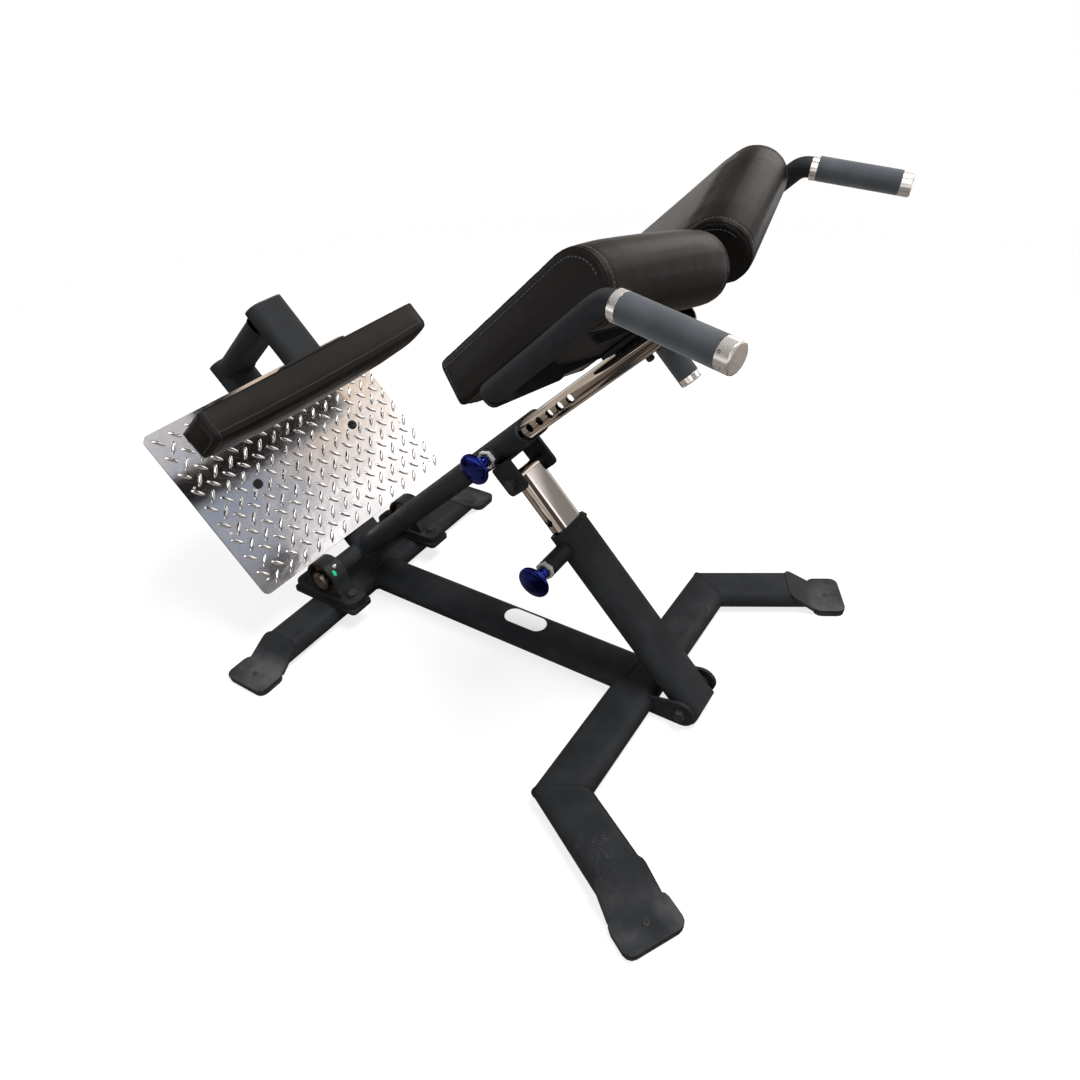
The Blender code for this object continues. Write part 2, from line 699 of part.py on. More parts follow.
def pillow_block():
    """Housing along x with its base at z = 0 and its bore at the shaft's height."""
    h = BLOCK_CENTRE_H
    arc = [(BLOCK_R * math.cos(t), h + BLOCK_R * math.sin(t)) for t in angles(-8, 188, 12)]
    body_outline = arc + [(-BLOCK_FLANK, BLOCK_FOOT_T - 0.001), (-BLOCK_FLANK, 0), (BLOCK_FLANK, 0),
                          (BLOCK_FLANK, BLOCK_FOOT_T - 0.001)]
    to_x = basis((0, 0, 0), (0, 1, 0), (0, 0, 1), (1, 0, 0))
    body = moved(prism(body_outline, -BLOCK_BODY_W / 2, BLOCK_BODY_W / 2), to_x)
    foot = prism(rounded_rect(BLOCK_WIDTH, BLOCK_LENGTH, BLOCK_WIDTH * 0.35), 0, BLOCK_FOOT_T)
    block = welded(foot, body)
    bore = moved(prism(circle(INSERT_R + GAP, 20, 0, h), -0.05, 0.05), to_x)
    block = cut(block, bore)
    for side in (1, -1):
        slot = moved(prism(flat_oval(BLOCK_SLOT, 2 * (BLOCK_BOLT_R + GAP), 4), -0.01, 0.03),
                     basis((0, side * BOLT_SPACING / 2, 0), (0, 1, 0), (-1, 0, 0), (0, 0, 1)))
        block = cut(block, slot)
    return block


def main_pivot(base, tilt):
    block_z = TUBE_TOP_Z + PAD_T + GAP
    block = pillow_block()
    race = moved(turned([(RING_R + GAP, -INSERT_W / 2), (INSERT_R, -INSERT_W / 2), (INSERT_R, INSERT_W / 2),
                         (RING_R + GAP, INSERT_W / 2)], 20), along("x"))
    for side, word in ((1, "left"), (-1, "right")):
        piece("bearing_housing_" + word, block.copy(), "cast_iron", base,
              Matrix.Translation((side * BLOCK_X, 0, block_z)))
        piece("bearing_race_" + word, race.copy(), "zinc", base, Matrix.Translation((side * BLOCK_X, 0, PIVOT_Z)))

    head = Matrix.Translation((0, 0, block_z + BLOCK_FOOT_T + GAP))
    bolt = hex_bolt(BLOCK_BOLT_R, BLOCK_FOOT_T + PAD_T + GAP, PIVOT_BOLT_AF, PIVOT_HEAD_T)
    for spot, word in zip(bolt_spots(), ("left_front", "left_rear", "right_front", "right_rear")):
        piece("bearing_bolt_" + word, bolt.copy(), "black_oxide", base, spot @ head)

    inner, outer = BLOCK_X - RING_IN, BLOCK_X + RING_OUT
    half = [(SHAFT_R, inner), (RING_R, inner), (RING_R, outer), (SHAFT_R, outer), (SHAFT_R, SHAFT_HALF - 0.001),
            (SHAFT_R - 0.001, SHAFT_HALF), (0, SHAFT_HALF)]
    shaft = turned([(r, -z) for r, z in reversed(half)] + half, 20)
    piece("pivot_shaft", moved(shaft, along("x")), "zinc", tilt)


# Tilting frame. Its pieces lie in a frame with x across, y = n square to the beam, z = a along it.

def tilt_frame(tilt):
    x, n, a = Vector((1, 0, 0)), Vector((0, 1, 0)), Vector((0, 0, 1))
    upright = basis((0, 0, 0), x, -a, n)
    bore = moved(prism(circle(SHAFT_R + GAP), -SHAFT_HALF, SHAFT_HALF), along("x"))
    heel = moved(flat_tube(TUBE_W, TUBE_H, TUBE_WALL, -TUBE_H / 2, HEEL_TOP), upright)
    hub_half = BLOCK_X - RING_IN - HUB_INSET
    hub = moved(prism(circle(HUB_R), -hub_half, hub_half), along("x"))
    heel = cut(welded(heel, hub, *plate_wings()), bore)
    piece("heel_tube", heel, "black_powder_coat", tilt)

    beam = flat_tube(TUBE_W, TUBE_H, TUBE_WALL, PLATE_BACK_A, BEAM_LENGTH)
    beam = pin_mount(welded(beam, *clevis_ears()), PIN_OUT, PIN_A)
    piece("beam_tube", beam, "black_powder_coat", tilt)
    fasteners = moved(through_bolt(EAR_X + EAR_T + GAP), Matrix.Translation((0, CLEVIS_N, CLEVIS_A)))
    piece("upper_pivot_bolt", fasteners, "black_oxide", tilt)
    mouth = BEAM_LENGTH - BUSH_RECESS
    piece("beam_guide_bush", guide_bush(mouth - BUSH_LENGTH, mouth), "black_plastic", tilt)

    link = flat_tube(TUBE_W, TUBE_H, TUBE_WALL, PLATE_BACK_A, ARM_A - TUBE_H / 2 - GAP)
    piece("top_link_tube", link, "black_powder_coat", tilt, Matrix.Translation((0, LINK_N, 0)))
    cap = prism(flat_oval(TUBE_W, TUBE_H), 0, CAP_T - GAP)
    plug = flat_oval(TUBE_W - 2 * TUBE_WALL - 2 * GAP, TUBE_H - 2 * TUBE_WALL - 2 * GAP)
    cap = welded(cap, prism(plug, -CAP_PLUG, CAP_T / 2))
    for word, spot in (("heel", 0), ("arm", ARM_A)):
        piece(word + "_end_cap", moved(cap, basis((0, HEEL_TOP + GAP, spot), x, -a, n)), "black_plastic", tilt)
    foot_plate(tilt)
    calf_rest(tilt)


def guide_bush(z0, z1):
    """Plastic sleeve in a tube's mouth that guides the chrome tube."""
    outer = flat_oval(TUBE_W - 2 * TUBE_WALL - 2 * GAP, TUBE_H - 2 * TUBE_WALL - 2 * GAP)
    return prism(outer, z0, z1, flat_oval(INNER_W + 2 * SLIDE_GAP, INNER_H + 2 * SLIDE_GAP))


def plate_wings():
    """Flat bars that stand out of the heel tube's sides behind the foot plate."""
    bar = prism(rounded_rect(WING_WIDTH - WING_ROOT, WING_HEIGHT, 0.006), -WING_T, 0)
    middle = (WING_WIDTH + WING_ROOT) / 2
    wings = []
    for side in (1, -1):
        hole = prism(circle(PLATE_BOLT_R + GAP, 12, side * (PLATE_BOLT_X - middle), 0), -DRILL, DRILL)
        wings.append(moved(cut(bar, hole), Matrix.Translation((side * middle, PLATE_BOLT_N, TUBE_H / 2))))
    return wings


def clevis_ears():
    """U bracket on the beam's underside: a web and two ears that hold the strut's upper bolt."""
    low = CLEVIS_N - EAR_BELOW
    rear, front = CLEVIS_A + EAR_SHIFT - EAR_LENGTH / 2, CLEVIS_A + EAR_SHIFT + EAR_LENGTH / 2
    top = -TUBE_H / 2 + EAR_WEB_SINK
    outline = rounded_outline([(rear, top, EAR_TOP_R), (rear, low, 0.009), (front, low, 0.009),
                               (front, top, EAR_TOP_R)], 5)
    hole = prism(circle(PIVOT_BOLT_R + GAP, 12, CLEVIS_A, CLEVIS_N), -1, 1)
    to_x = basis((0, 0, 0), (0, 0, 1), (0, 1, 0), (-1, 0, 0))
    web = prism(rounded_rect(EAR_LENGTH - 2 * EAR_TOP_R, 2 * EAR_X + EAR_T, EAR_T / 2), top - EAR_WEB_T, top)
    lying = basis((0, 0, CLEVIS_A + EAR_SHIFT), (0, 0, 1), (1, 0, 0), (0, 1, 0))
    bracket = [moved(web, lying)]
    for side in (1, -1):
        near, far = sorted((side * EAR_X, side * (EAR_X + EAR_T)))
        bracket.append(moved(cut(prism(outline, -far, -near), hole), to_x))
    return bracket


def foot_plate(tilt):
    """Tread plate square to the beam, on two wings that stand out of the heel tube."""
    centre_n = PLATE_N + PLATE_HEIGHT / 2
    outline = rounded_rect(PLATE_WIDTH, PLATE_HEIGHT, PLATE_CORNER_R)
    spots = [(side * PLATE_BOLT_X, PLATE_BOLT_N - centre_n) for side in (1, -1)]
    drills = [prism(circle(PLATE_BOLT_R + GAP, 12, *spot), -DRILL, DRILL) for spot in spots]
    sheet = cut(prism(outline, PLATE_BACK_A, PLATE_FRONT_A), *drills)
    piece("foot_plate", sheet, "aluminium", tilt, Matrix.Translation((0, centre_n, 0)))
    bolt = button_bolt(PLATE_BOLT_R, PLATE_T + WING_T + PLATE_BOLT_TAIL, PLATE_HEAD_R, PLATE_HEAD_T)
    for side, word in ((1, "left"), (-1, "right")):
        spot = Matrix.Translation((side * PLATE_BOLT_X, PLATE_BOLT_N, PLATE_FRONT_A + GAP))
        piece("foot_plate_bolt_" + word, bolt.copy(), "black_oxide", tilt, spot)


def calf_rest(tilt):
    """Arm that carries the calf pad by its flange and board."""
    x, n, a = Vector((1, 0, 0)), Vector((0, 1, 0)), Vector((0, 0, 1))
    level = basis((0, 0, ARM_A), x, -a, n)
    arm = flat_tube(TUBE_W, TUBE_H, TUBE_WALL, FLANGE_N + CALF_FLANGE_T / 2, HEEL_TOP)
    flange = prism(rounded_rect(CALF_FLANGE_LENGTH, CALF_FLANGE_WIDTH, 0.008), FLANGE_N, FLANGE_N + CALF_FLANGE_T)
    piece("calf_arm_tube", moved(welded(arm, flange), level), "black_powder_coat", tilt)
    board = prism(rounded_rect(CALF_LENGTH - 2 * BOARD_INSET, CALF_WIDTH - 2 * BOARD_INSET, 0.012),
                  BOARD_N, BOARD_N + CALF_BOARD_T)
    piece("calf_board", moved(board, level), "plywood", tilt)

    half = CALF_LENGTH / 2
    section = rounded_outline([(CALF_WIDTH / 2, 0, 0.010), (CALF_WIDTH / 2, CALF_FOAM, 0.004),
                               (-CALF_WIDTH / 2, CALF_FOAM, 0.004), (-CALF_WIDTH / 2, 0, 0.010)], 3)
    section = refined(section, 0.016)

    def shape(s, u, v):
        """Arched soft side along the pad, with a light crown across it."""
        arch = CALF_CROWN * (1 - (2 * s - 1) ** 2)
        across = 0.003 * (1 - (2 * u / CALF_WIDTH) ** 2)
        return u, v - (arch + across) * (1 - v / CALF_FOAM)
    pad = cushion(section, cushion_stations(CALF_LENGTH, CALF_SEAM), CALF_LENGTH, shape, 1)
    piece("calf_pad", pad, "leather", tilt, basis((-half, CALF_PAD_N, ARM_A), -a, n, x), 60)


def refined(points, step):
    """Adds points to the long sides of an outline."""
    out = []
    for k, here in enumerate(points):
        ahead = Vector(points[(k + 1) % len(points)])
        start = Vector(here)
        count = max(1, round((ahead - start).length / step))
        out += [tuple(start.lerp(ahead, j / count)) for j in range(count)]
    return out


def cushion_stations(length, seam):
    """Places along a cushion with the depth drawn in there: rounded ends, seam groove, light crown."""
    ends = [(0, PAD_END_R), (SEAM_HALF, SEAM_DEPTH), (seam - SEAM_HALF, 0), (seam, SEAM_DEPTH),
            (seam + SEAM_HALF, 0)]
    middle = [(length * f, PAD_SWELL * (0.6 * (2 * f - 1) ** 2 - 1)) for f in (0.2, 0.35, 0.5, 0.65, 0.8)]
    return ends + middle + [(length - s, depth) for s, depth in reversed(ends)]


def cushion(section, stations, length, shape, board_side):
    """Skins a section through its stations, drawn in by the depth at each, and closes both ends.

    A negative depth swells the soft sides only; board_side is the sign of v on the board's side.
    """
    count = len(section)
    inward = []
    for k in range(count):
        side = Vector(section[(k + 1) % count]) - Vector(section[k - 1])
        inward.append(Vector((-side.y, side.x)).normalized())
    rings = []
    for s, depth in stations:
        drawn = []
        for point, normal in zip(section, inward):
            on_board = -normal.y * board_side > 0.5
            drawn.append(Vector(point) + normal * (max(depth, 0) if on_board else depth))
        rings.append([(*shape(s / length, *point), s) for point in drawn])
    return skinned(rings)


# Pop pins

def pin_mount(tube, outer, spot):
    """Welds the pop pin's sleeve on the tube's right flank and bores it for the rod and the knob's neck."""
    face = along("-x", (0, 0, spot))
    root = TUBE_W / 2 - TUBE_WALL
    floor = outer + PIN_NUT_T - PIN_TRAVEL - 2 * GAP
    tube = welded(tube, moved(prism(circle(PIN_HOUSING_R), root, outer), face))
    return cut(tube, moved(prism(circle(PIN_R + SLIDE_GAP), 0, 2 * TUBE_W), face),
               moved(prism(circle(NECK_BORE), floor, 2 * TUBE_W), face))


def knob():
    """Mushroom knob with its neck's foot at z = 0, bored for the rod."""
    bore = PIN_R + GAP
    deep = KNOB_NECK + KNOB_BORE
    top = KNOB_NECK + KNOB_DISC_T
    profile = [(0, deep), (bore, deep), (bore, 0), (KNOB_NECK_R, 0), (KNOB_NECK_R, KNOB_NECK * 0.7),
               (KNOB_R * 0.8, KNOB_NECK), (KNOB_R * 0.97, KNOB_NECK + KNOB_DISC_T * 0.25),
               (KNOB_R, KNOB_NECK + KNOB_DISC_T * 0.5), (KNOB_R * 0.85, top - 0.001), (0, top)]
    return turned(profile, 20)


def pop_pin(name, holder, slide, outer, spot):
    """Lock nut on the holder; rod and knob on the slide, drawn clear of the inner tube."""
    nut = prism(hexagon(PIN_NUT_AF, 3), 0, PIN_NUT_T, circle(NECK_BORE, 18))
    piece(name + "_nut", moved(nut, along("-x", (-outer - GAP, 0, spot))), "zinc", holder)
    neck = outer + PIN_NUT_T + 2 * GAP
    tip = INNER_W / 2 + PIN_CLEAR
    end = neck + KNOB_NECK + KNOB_BORE - GAP
    rod = turned([(0, tip), (PIN_R - 0.0015, tip), (PIN_R, tip + 0.002), (PIN_R, end), (0, end)], 12)
    piece(name + "_rod", moved(rod, along("-x")), "zinc", slide)
    piece(name + "_knob", moved(knob(), along("-x", (-neck, 0, 0))), "blue_anodised", slide)


# Strut. Its pieces lie in a frame with x across and z = u along the strut from the lower pivot.

def strut(base, outer_pivot, inner_slide):
    bolt = moved(through_bolt(FOOT_EAR_X + EAR_T + GAP), Matrix.Translation((0, FRONT_PIVOT_Y, FRONT_PIVOT_Z)))
    piece("lower_pivot_bolt", bolt, "black_oxide", base)

    def rounded_end(a, b):
        """End that keeps the same distance from the lower bolt all round."""
        return -math.sqrt(STRUT_END_R ** 2 - b ** 2)
    outer = flat_tube(TUBE_W, TUBE_H, TUBE_WALL, rounded_end, STRUT_TOP)
    outer = welded(outer, moved(prism(circle(FOOT_SLEEVE_R), -TUBE_W / 2 - SLEEVE_OUT, TUBE_W / 2 + SLEEVE_OUT),
                                along("x")))
    outer = cut(outer, moved(prism(circle(PIVOT_BOLT_R + GAP, 12), -DRILL, DRILL), along("x")),
                moved(prism(circle(CLAMP_R + GAP, 12), 0, TUBE_W), along("x", (0, 0, CLAMP_U))))
    piece("strut_outer_tube", pin_mount(outer, STRUT_PIN_OUT, STRUT_PIN_U), "black_powder_coat", outer_pivot)
    mouth = STRUT_TOP - BUSH_RECESS
    bush = cut(guide_bush(mouth - STRUT_BUSH_LENGTH, mouth),
               moved(prism(circle(CLAMP_R + GAP, 12), 0, TUBE_W), along("x", (0, 0, CLAMP_U))))
    piece("strut_guide_bush", bush, "black_plastic", outer_pivot)
    tip = INNER_W / 2 + SLIDE_GAP + GAP
    screw = turned([(0, tip), (CLAMP_R, tip), (CLAMP_R, CLAMP_OUT), (0, CLAMP_OUT)], 12)
    piece("strut_clamp_screw", moved(screw, along("x", (0, 0, CLAMP_U))), "black_oxide", outer_pivot)
    slide = empty("strut_pin_slide", outer_pivot, (0, 0, STRUT_PIN_U))
    pop_pin("strut_pin", outer_pivot, slide, STRUT_PIN_OUT, STRUT_PIN_U)
    strut_inner(inner_slide)


def strut_inner(inner_slide):
    """Chrome tube with its holes and the black sleeve at its top."""
    foot = STRUT_PIN_U - STRUT_HOLES_DOWN * HOLE_PITCH - STRUT_INNER_TAIL
    top = STRUT_LENGTH
    across = basis((0, 0, 0), (0, 0, -1), (0, 1, 0), (1, 0, 0))
    notch = moved(prism(circle(SLEEVE_R + GAP, 20, -top, OPEN_PIVOT_OFFSET), -DRILL, DRILL), across)
    drills = []
    for k in range(-STRUT_HOLES_DOWN, STRUT_HOLES_UP + 1):
        spot = (0, 0, STRUT_PIN_U + k * HOLE_PITCH)
        drills.append(moved(prism(circle(HOLE_R, 10), -DRILL, DRILL), along("x", spot)))
    tube = flat_tube(INNER_W, INNER_H, INNER_WALL, foot, top, 8)
    piece("strut_inner_tube", cut(tube, joined(drills), notch), "chrome", inner_slide)
    half = EAR_X - GAP
    sleeve = turned([(SLEEVE_BORE_R, -half), (SLEEVE_R, -half), (SLEEVE_R, half), (SLEEVE_BORE_R, half)], 20)
    sleeve = moved(sleeve, along("x", (0, OPEN_PIVOT_OFFSET, top)))
    piece("strut_top_sleeve", sleeve, "chrome", inner_slide)


# Sliding pad carriage, in the tilting frame's axes

def cradle_frame(side):
    """Frame of one pad: x along the pad outward (s), y square to its top (m), z along the beam."""
    out = Vector((side * math.cos(CRADLE_TILT), math.sin(CRADLE_TILT), 0))
    up = Vector((-side * math.sin(CRADLE_TILT), math.cos(CRADLE_TILT), 0))
    return Matrix(((out.x, up.x, 0, side * CRADLE_X), (out.y, up.y, 0, CRADLE_N), (0, 0, 1, 0), (0, 0, 0, 1)))


def cradle_point(s, m):
    """Distance across and height n of a point of a pad's section."""
    c, t = math.cos(CRADLE_TILT), math.sin(CRADLE_TILT)
    return CRADLE_X + s * c - m * t, CRADLE_N + s * t + m * c


def carriage(slide):
    drills = []
    for k in range(-CARRIAGE_HOLES_OUT, CARRIAGE_HOLES_IN + 1):
        drills.append(moved(prism(circle(HOLE_R, 10), -DRILL, DRILL), along("x", (0, 0, PIN_A + k * HOLE_PITCH))))
    tube = flat_tube(INNER_W, INNER_H, INNER_WALL, CARRIAGE_IN, CARRIAGE_OUT, 8)
    piece("carriage_tube", cut(tube, joined(drills)), "chrome", slide)

    cradle_bracket(slide)
    for side, word in ((1, "left"), (-1, "right")):
        stations = cushion_stations(PAD_LENGTH_S, PAD_SEAM)
        pad = cushion(hip_section(), stations, PAD_LENGTH_S, lambda s, u, v: (u, v), -1)
        turn = Matrix(((0, 0, 1, 0), (0, 1, 0, 0), (1, 0, 0, 0), (0, 0, 0, 1)))
        piece("hip_pad_" + word, moved(pad, cradle_frame(side) @ turn), "leather", slide, None, 60)
        piece("pad_board_" + word, pad_board(side), "plywood", slide)
    handles(slide)


def cradle_bracket(slide):
    """Block on the chrome tube with two ribs across it that carry the pad plates."""
    corner_x, corner_n = cradle_point(PAD_PLATE_S0, PLATE_M - PAD_PLATE_T)
    low, high = INNER_H / 2 + GAP, corner_n - GAP
    plan = rounded_rect(2 * SADDLE_HALF_W, RIB_FRONT - RIB_REAR, 0.004)
    lying = basis((0, low, (RIB_REAR + RIB_FRONT + RIB_T) / 2), (-1, 0, 0), (0, 0, 1), (0, 1, 0))
    block = moved(prism(plan, 0, high - low), lying)
    rib_top = corner_n + (RIB_HALF_LENGTH - corner_x) * math.tan(CRADLE_TILT) - GAP
    right = [(INNER_W / 2 - 0.012, low, 0), (RIB_HALF_LENGTH, rib_top - RIB_DEPTH, 0.004),
             (RIB_HALF_LENGTH, rib_top, 0), (corner_x + 0.0002, high, 0)]
    rib = prism(rounded_outline(right + [(-u, v, r) for u, v, r in reversed(right)]), 0, RIB_T)
    ribs = [moved(rib, Matrix.Translation((0, 0, spot))) for spot in (RIB_REAR, RIB_FRONT)]
    piece("cradle_bracket", welded(block, *ribs), "black_powder_coat", slide)


def pad_plate(side):
    """Steel plate under one pad."""
    wide, tall = PAD_PLATE_S1 - PAD_PLATE_S0, PAD_PLATE_FRONT - PAD_PLATE_REAR
    centre = (PAD_PLATE_S0 + wide / 2, PLATE_M - PAD_PLATE_T, PAD_PLATE_REAR + tall / 2)
    lying = basis(centre, (-1, 0, 0), (0, 0, 1), (0, 1, 0))
    return moved(prism(rounded_rect(wide, tall, 0.008), 0, PAD_PLATE_T), cradle_frame(side) @ lying)


def pad_board(side):
    """Plywood board under the pad's foam."""
    long = BOARD_FRONT - PAD_REAR - BOARD_INSET
    board = prism(rounded_rect(PAD_LENGTH_S - 2 * BOARD_INSET, long, 0.010), 0, BOARD_T)
    place = basis((PAD_LENGTH_S / 2, PLATE_M + GAP, PAD_REAR + BOARD_INSET + long / 2),
                  (-1, 0, 0), (0, 0, 1), (0, 1, 0))
    return moved(board, cradle_frame(side) @ place)


def hip_section():
    """Pad outline in (a, m): flat top, rolled nose that drops in front of the board, square rear."""
    r = PAD_NOSE_R
    nose = [(PAD_NOSE_A + r * math.cos(t), -r + r * math.sin(t)) for t in angles(-135, 90, 14)]
    rear = rounded_outline([(PAD_NOSE_A, 0, 0), (PAD_REAR, 0, 0.009), (PAD_REAR, -PAD_FOAM, 0.004),
                            (BOARD_FRONT + 0.004, -PAD_FOAM, 0)], 4)[1:]
    return refined(nose + rear, 0.030)


def handles(slide):
    """Handles welded to the pad plates, with their rings, grips and caps, and the pull handle below."""
    for side, word in ((1, "left"), (-1, "right")):
        out = Vector((side * GRIP_OUT, -GRIP_DROP, GRIP_FORWARD)).normalized()
        apex = Vector((side * HANDLE_X, HANDLE_N, HANDLE_APEX_A))
        straight = Vector((0, 0, 1))
        bend = straight.angle(out)
        tangent = HANDLE_BEND_R * math.tan(bend / 2)
        toward = (out - straight * out.z).normalized()
        start = HANDLE_REAR + BRACKET_T / 2
        length = RING_START + RING_LENGTH + GRIP_LENGTH
        tube = bent_tube(HANDLE_APEX_A - tangent - start, bend, length - tangent)
        tube = moved(tube, basis((apex.x, apex.y, start), toward, straight.cross(toward), straight))
        frame = welded(tube, handle_bracket(side), pad_plate(side))
        piece("handle_frame_" + word, frame, "black_powder_coat", slide)
        grip = along(out, apex + out * RING_START)
        piece("handle_ring_" + word, moved(sleeve_piece(HANDLE_R, GRIP_R, 0, RING_LENGTH), grip), "aluminium", slide)
        foam = sleeve_piece(HANDLE_R, GRIP_R, RING_LENGTH + GAP, RING_LENGTH + GRIP_LENGTH)
        piece("handle_grip_" + word, moved(foam, grip), "grip_foam", slide)
        cap = moved(end_cap(GRIP_R, CAP_LENGTH), Matrix.Translation((0, 0, RING_LENGTH + GRIP_LENGTH + GAP)))
        piece("handle_cap_" + word, moved(cap, grip), "aluminium", slide)

    down = along((0, -1, 0), (0, -INNER_H / 2 - GAP, PULL_A))
    stub = welded(disc(PULL_R, 0, PULL_LENGTH + PULL_CAP / 2, 16),
                  moved(end_cap(PULL_GRIP_R, PULL_CAP), Matrix.Translation((0, 0, PULL_LENGTH))))
    piece("pull_stub", moved(stub, down), "aluminium", slide)
    foam = sleeve_piece(PULL_R, PULL_GRIP_R, GAP, PULL_LENGTH - GAP)
    piece("pull_grip", moved(foam, down), "grip_foam", slide)
    bumper = turned([(0, 0), (BUMPER_R, 0), (BUMPER_R, BUMPER_H * 0.7), (BUMPER_R * 0.6, BUMPER_H), (0, BUMPER_H)], 12)
    piece("stop_bumper", moved(bumper, along((0, -1, 0), (0, -INNER_H / 2 - GAP, BUMPER_A))), "rubber", slide)


def bent_tube(first, bend, last):
    """Round tube along z, then a bend towards +x, then a straight end."""
    return cut(bent_bar(HANDLE_R, 0, first, bend, last), bent_bar(HANDLE_R - HANDLE_WALL, 0.005, first, bend, last))


def bent_bar(radius, over, first, bend, last):
    """Bar of the bent tube's course that runs past both of its ends by a given length."""
    stops = [(0, 0, -over), (0, 0, first)]
    for turn in [bend * k / HANDLE_BEND_STEPS for k in range(1, HANDLE_BEND_STEPS + 1)]:
        stops.append((HANDLE_BEND_R * (1 - math.cos(turn)), turn, first + HANDLE_BEND_R * math.sin(turn)))
    reach, _, rise = stops[-1]
    end = last + over
    stops.append((reach + end * math.sin(bend), bend, rise + end * math.cos(bend)))
    return skinned([[(x + u * math.cos(turn), v, z - u * math.sin(turn)) for u, v in circle(radius, 14)]
                    for x, turn, z in stops])


def sleeve_piece(inner, outer, z0, z1):
    return turned([(inner + GAP, z0), (outer, z0), (outer, z1), (inner + GAP, z1)], 16)


def end_cap(radius, length):
    edge = 0.0015
    return turned([(0, 0), (radius, 0), (radius, length - edge), (radius - edge, length), (0, length)], 16)


def handle_bracket(side):
    """Upright plate between a pad plate and the rear end of its handle."""
    rise = math.tan(CRADLE_TILT)
    corner_x, corner_n = cradle_point(PAD_PLATE_S0, PLATE_M - PAD_PLATE_T)
    inner, outer = HANDLE_X - HANDLE_R, HANDLE_X + HANDLE_R
    start = corner_n + (BRACKET_X0 - corner_x) * rise + PAD_PLATE_T / 2
    corners = [(BRACKET_X0, start - BRACKET_DEPTH, 0.008), (outer, HANDLE_N - HANDLE_R, 0.012),
               (outer, HANDLE_N + HANDLE_R, 0.012), (inner, HANDLE_N + HANDLE_R * 0.8, 0), (BRACKET_X0, start, 0)]
    if side < 0:
        corners = [(-u, v, r) for u, v, r in reversed(corners)]
    return prism(rounded_outline(corners), HANDLE_REAR, HANDLE_REAR + BRACKET_T)


def centre(base):
    """Moves the whole bench so that the origin lies below the middle of its outer box."""
    bpy.context.view_layer.update()
    low, high = math.inf, -math.inf
    for item in bpy.data.objects:
        if item.type == "MESH":
            reach = [(item.matrix_world @ vert.co).y for vert in item.data.vertices]
            low, high = min(low, *reach), max(high, *reach)
    base.location.y = -(low + high) / 2


def build():
    for item in list(bpy.data.objects):
        bpy.data.objects.remove(item)
    base = empty("base_frame")
    tilt = empty("tilt_axis", base, (0, 0, PIVOT_Z), (math.pi / 2 - BEAM_ANGLE, 0, 0))
    slide = empty("carriage_slide", tilt)
    outer_pivot = empty("strut_axis", base, (0, FRONT_PIVOT_Y, FRONT_PIVOT_Z), (STRUT_ANGLE - math.pi / 2, 0, 0))
    inner_slide = empty("strut_slide", outer_pivot)
    beam_pin_slide = empty("beam_pin_slide", tilt, (0, 0, PIN_A))
    base_frame(base)
    main_pivot(base, tilt)
    tilt_frame(tilt)
    pop_pin("beam_pin", tilt, beam_pin_slide, PIN_OUT, PIN_A)
    strut(base, outer_pivot, inner_slide)
    carriage(slide)
    centre(base)


build()
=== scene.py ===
# Hyperextension bench, dressed over its CAD frame.
# Metres, +Z up, the bench stands on z = 0. Order: shape tools, shared shader groups, finishes, then one
# function for each group of pieces, then floor, light and camera.

import json
import math

import bmesh
import bpy
from mathutils import Matrix, Quaternion, Vector
from mathutils.bvhtree import BVHTree


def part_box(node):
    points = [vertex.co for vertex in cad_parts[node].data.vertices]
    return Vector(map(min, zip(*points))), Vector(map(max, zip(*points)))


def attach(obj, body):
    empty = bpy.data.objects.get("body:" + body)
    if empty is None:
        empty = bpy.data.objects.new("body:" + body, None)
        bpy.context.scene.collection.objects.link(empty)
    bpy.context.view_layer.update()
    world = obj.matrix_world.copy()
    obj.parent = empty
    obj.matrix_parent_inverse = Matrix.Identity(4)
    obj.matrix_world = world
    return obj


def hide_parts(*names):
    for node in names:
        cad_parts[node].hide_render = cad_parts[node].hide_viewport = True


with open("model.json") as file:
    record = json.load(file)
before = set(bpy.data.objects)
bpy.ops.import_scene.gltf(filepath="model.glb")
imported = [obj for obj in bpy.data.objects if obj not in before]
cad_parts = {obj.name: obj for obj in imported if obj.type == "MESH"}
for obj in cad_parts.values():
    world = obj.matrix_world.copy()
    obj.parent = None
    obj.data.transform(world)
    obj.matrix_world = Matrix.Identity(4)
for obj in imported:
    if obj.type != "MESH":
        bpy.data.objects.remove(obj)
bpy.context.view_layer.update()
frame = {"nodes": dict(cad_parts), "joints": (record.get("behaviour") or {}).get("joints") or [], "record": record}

JOINTS = {joint["name"]: joint for joint in frame["joints"]}
X = Vector((1, 0, 0))
UP = Vector((0, 0, 1))

# Beam frame: a runs along the beam, n stands square on its top, both from the main pivot
PIVOT = Vector(JOINTS["tilt"]["pos_m"])
ALONG = Vector(JOINTS["carriage_slide"]["axis"]).normalized()
SQUARE = ALONG.cross(X)
# Strut frame: u runs up the strut from its lower bolt, w stands square on its front
STRUT_FOOT = Vector(JOINTS["strut_lean"]["pos_m"])
STRUT_UP = Vector(JOINTS["strut_extend"]["axis"]).normalized()
STRUT_FRONT = X.cross(STRUT_UP)

# Flat-oval tube, and the height of the base tubes' middle and top
TUBE_W, TUBE_H = 0.080, 0.040
TUBE_MIDDLE, TUBE_TOP = 0.026, 0.046
# Foot plate: its front along the beam, and its bolts and rivets as (x, n)
PLATE_FRONT = 0.0233
PLATE_BOLTS = [(side * 0.1285, 0.2185) for side in (1, -1)]
PLATE_RIVETS = [(side * 0.233, n) for side in (1, -1) for n in (0.062, 0.1685, 0.273)]
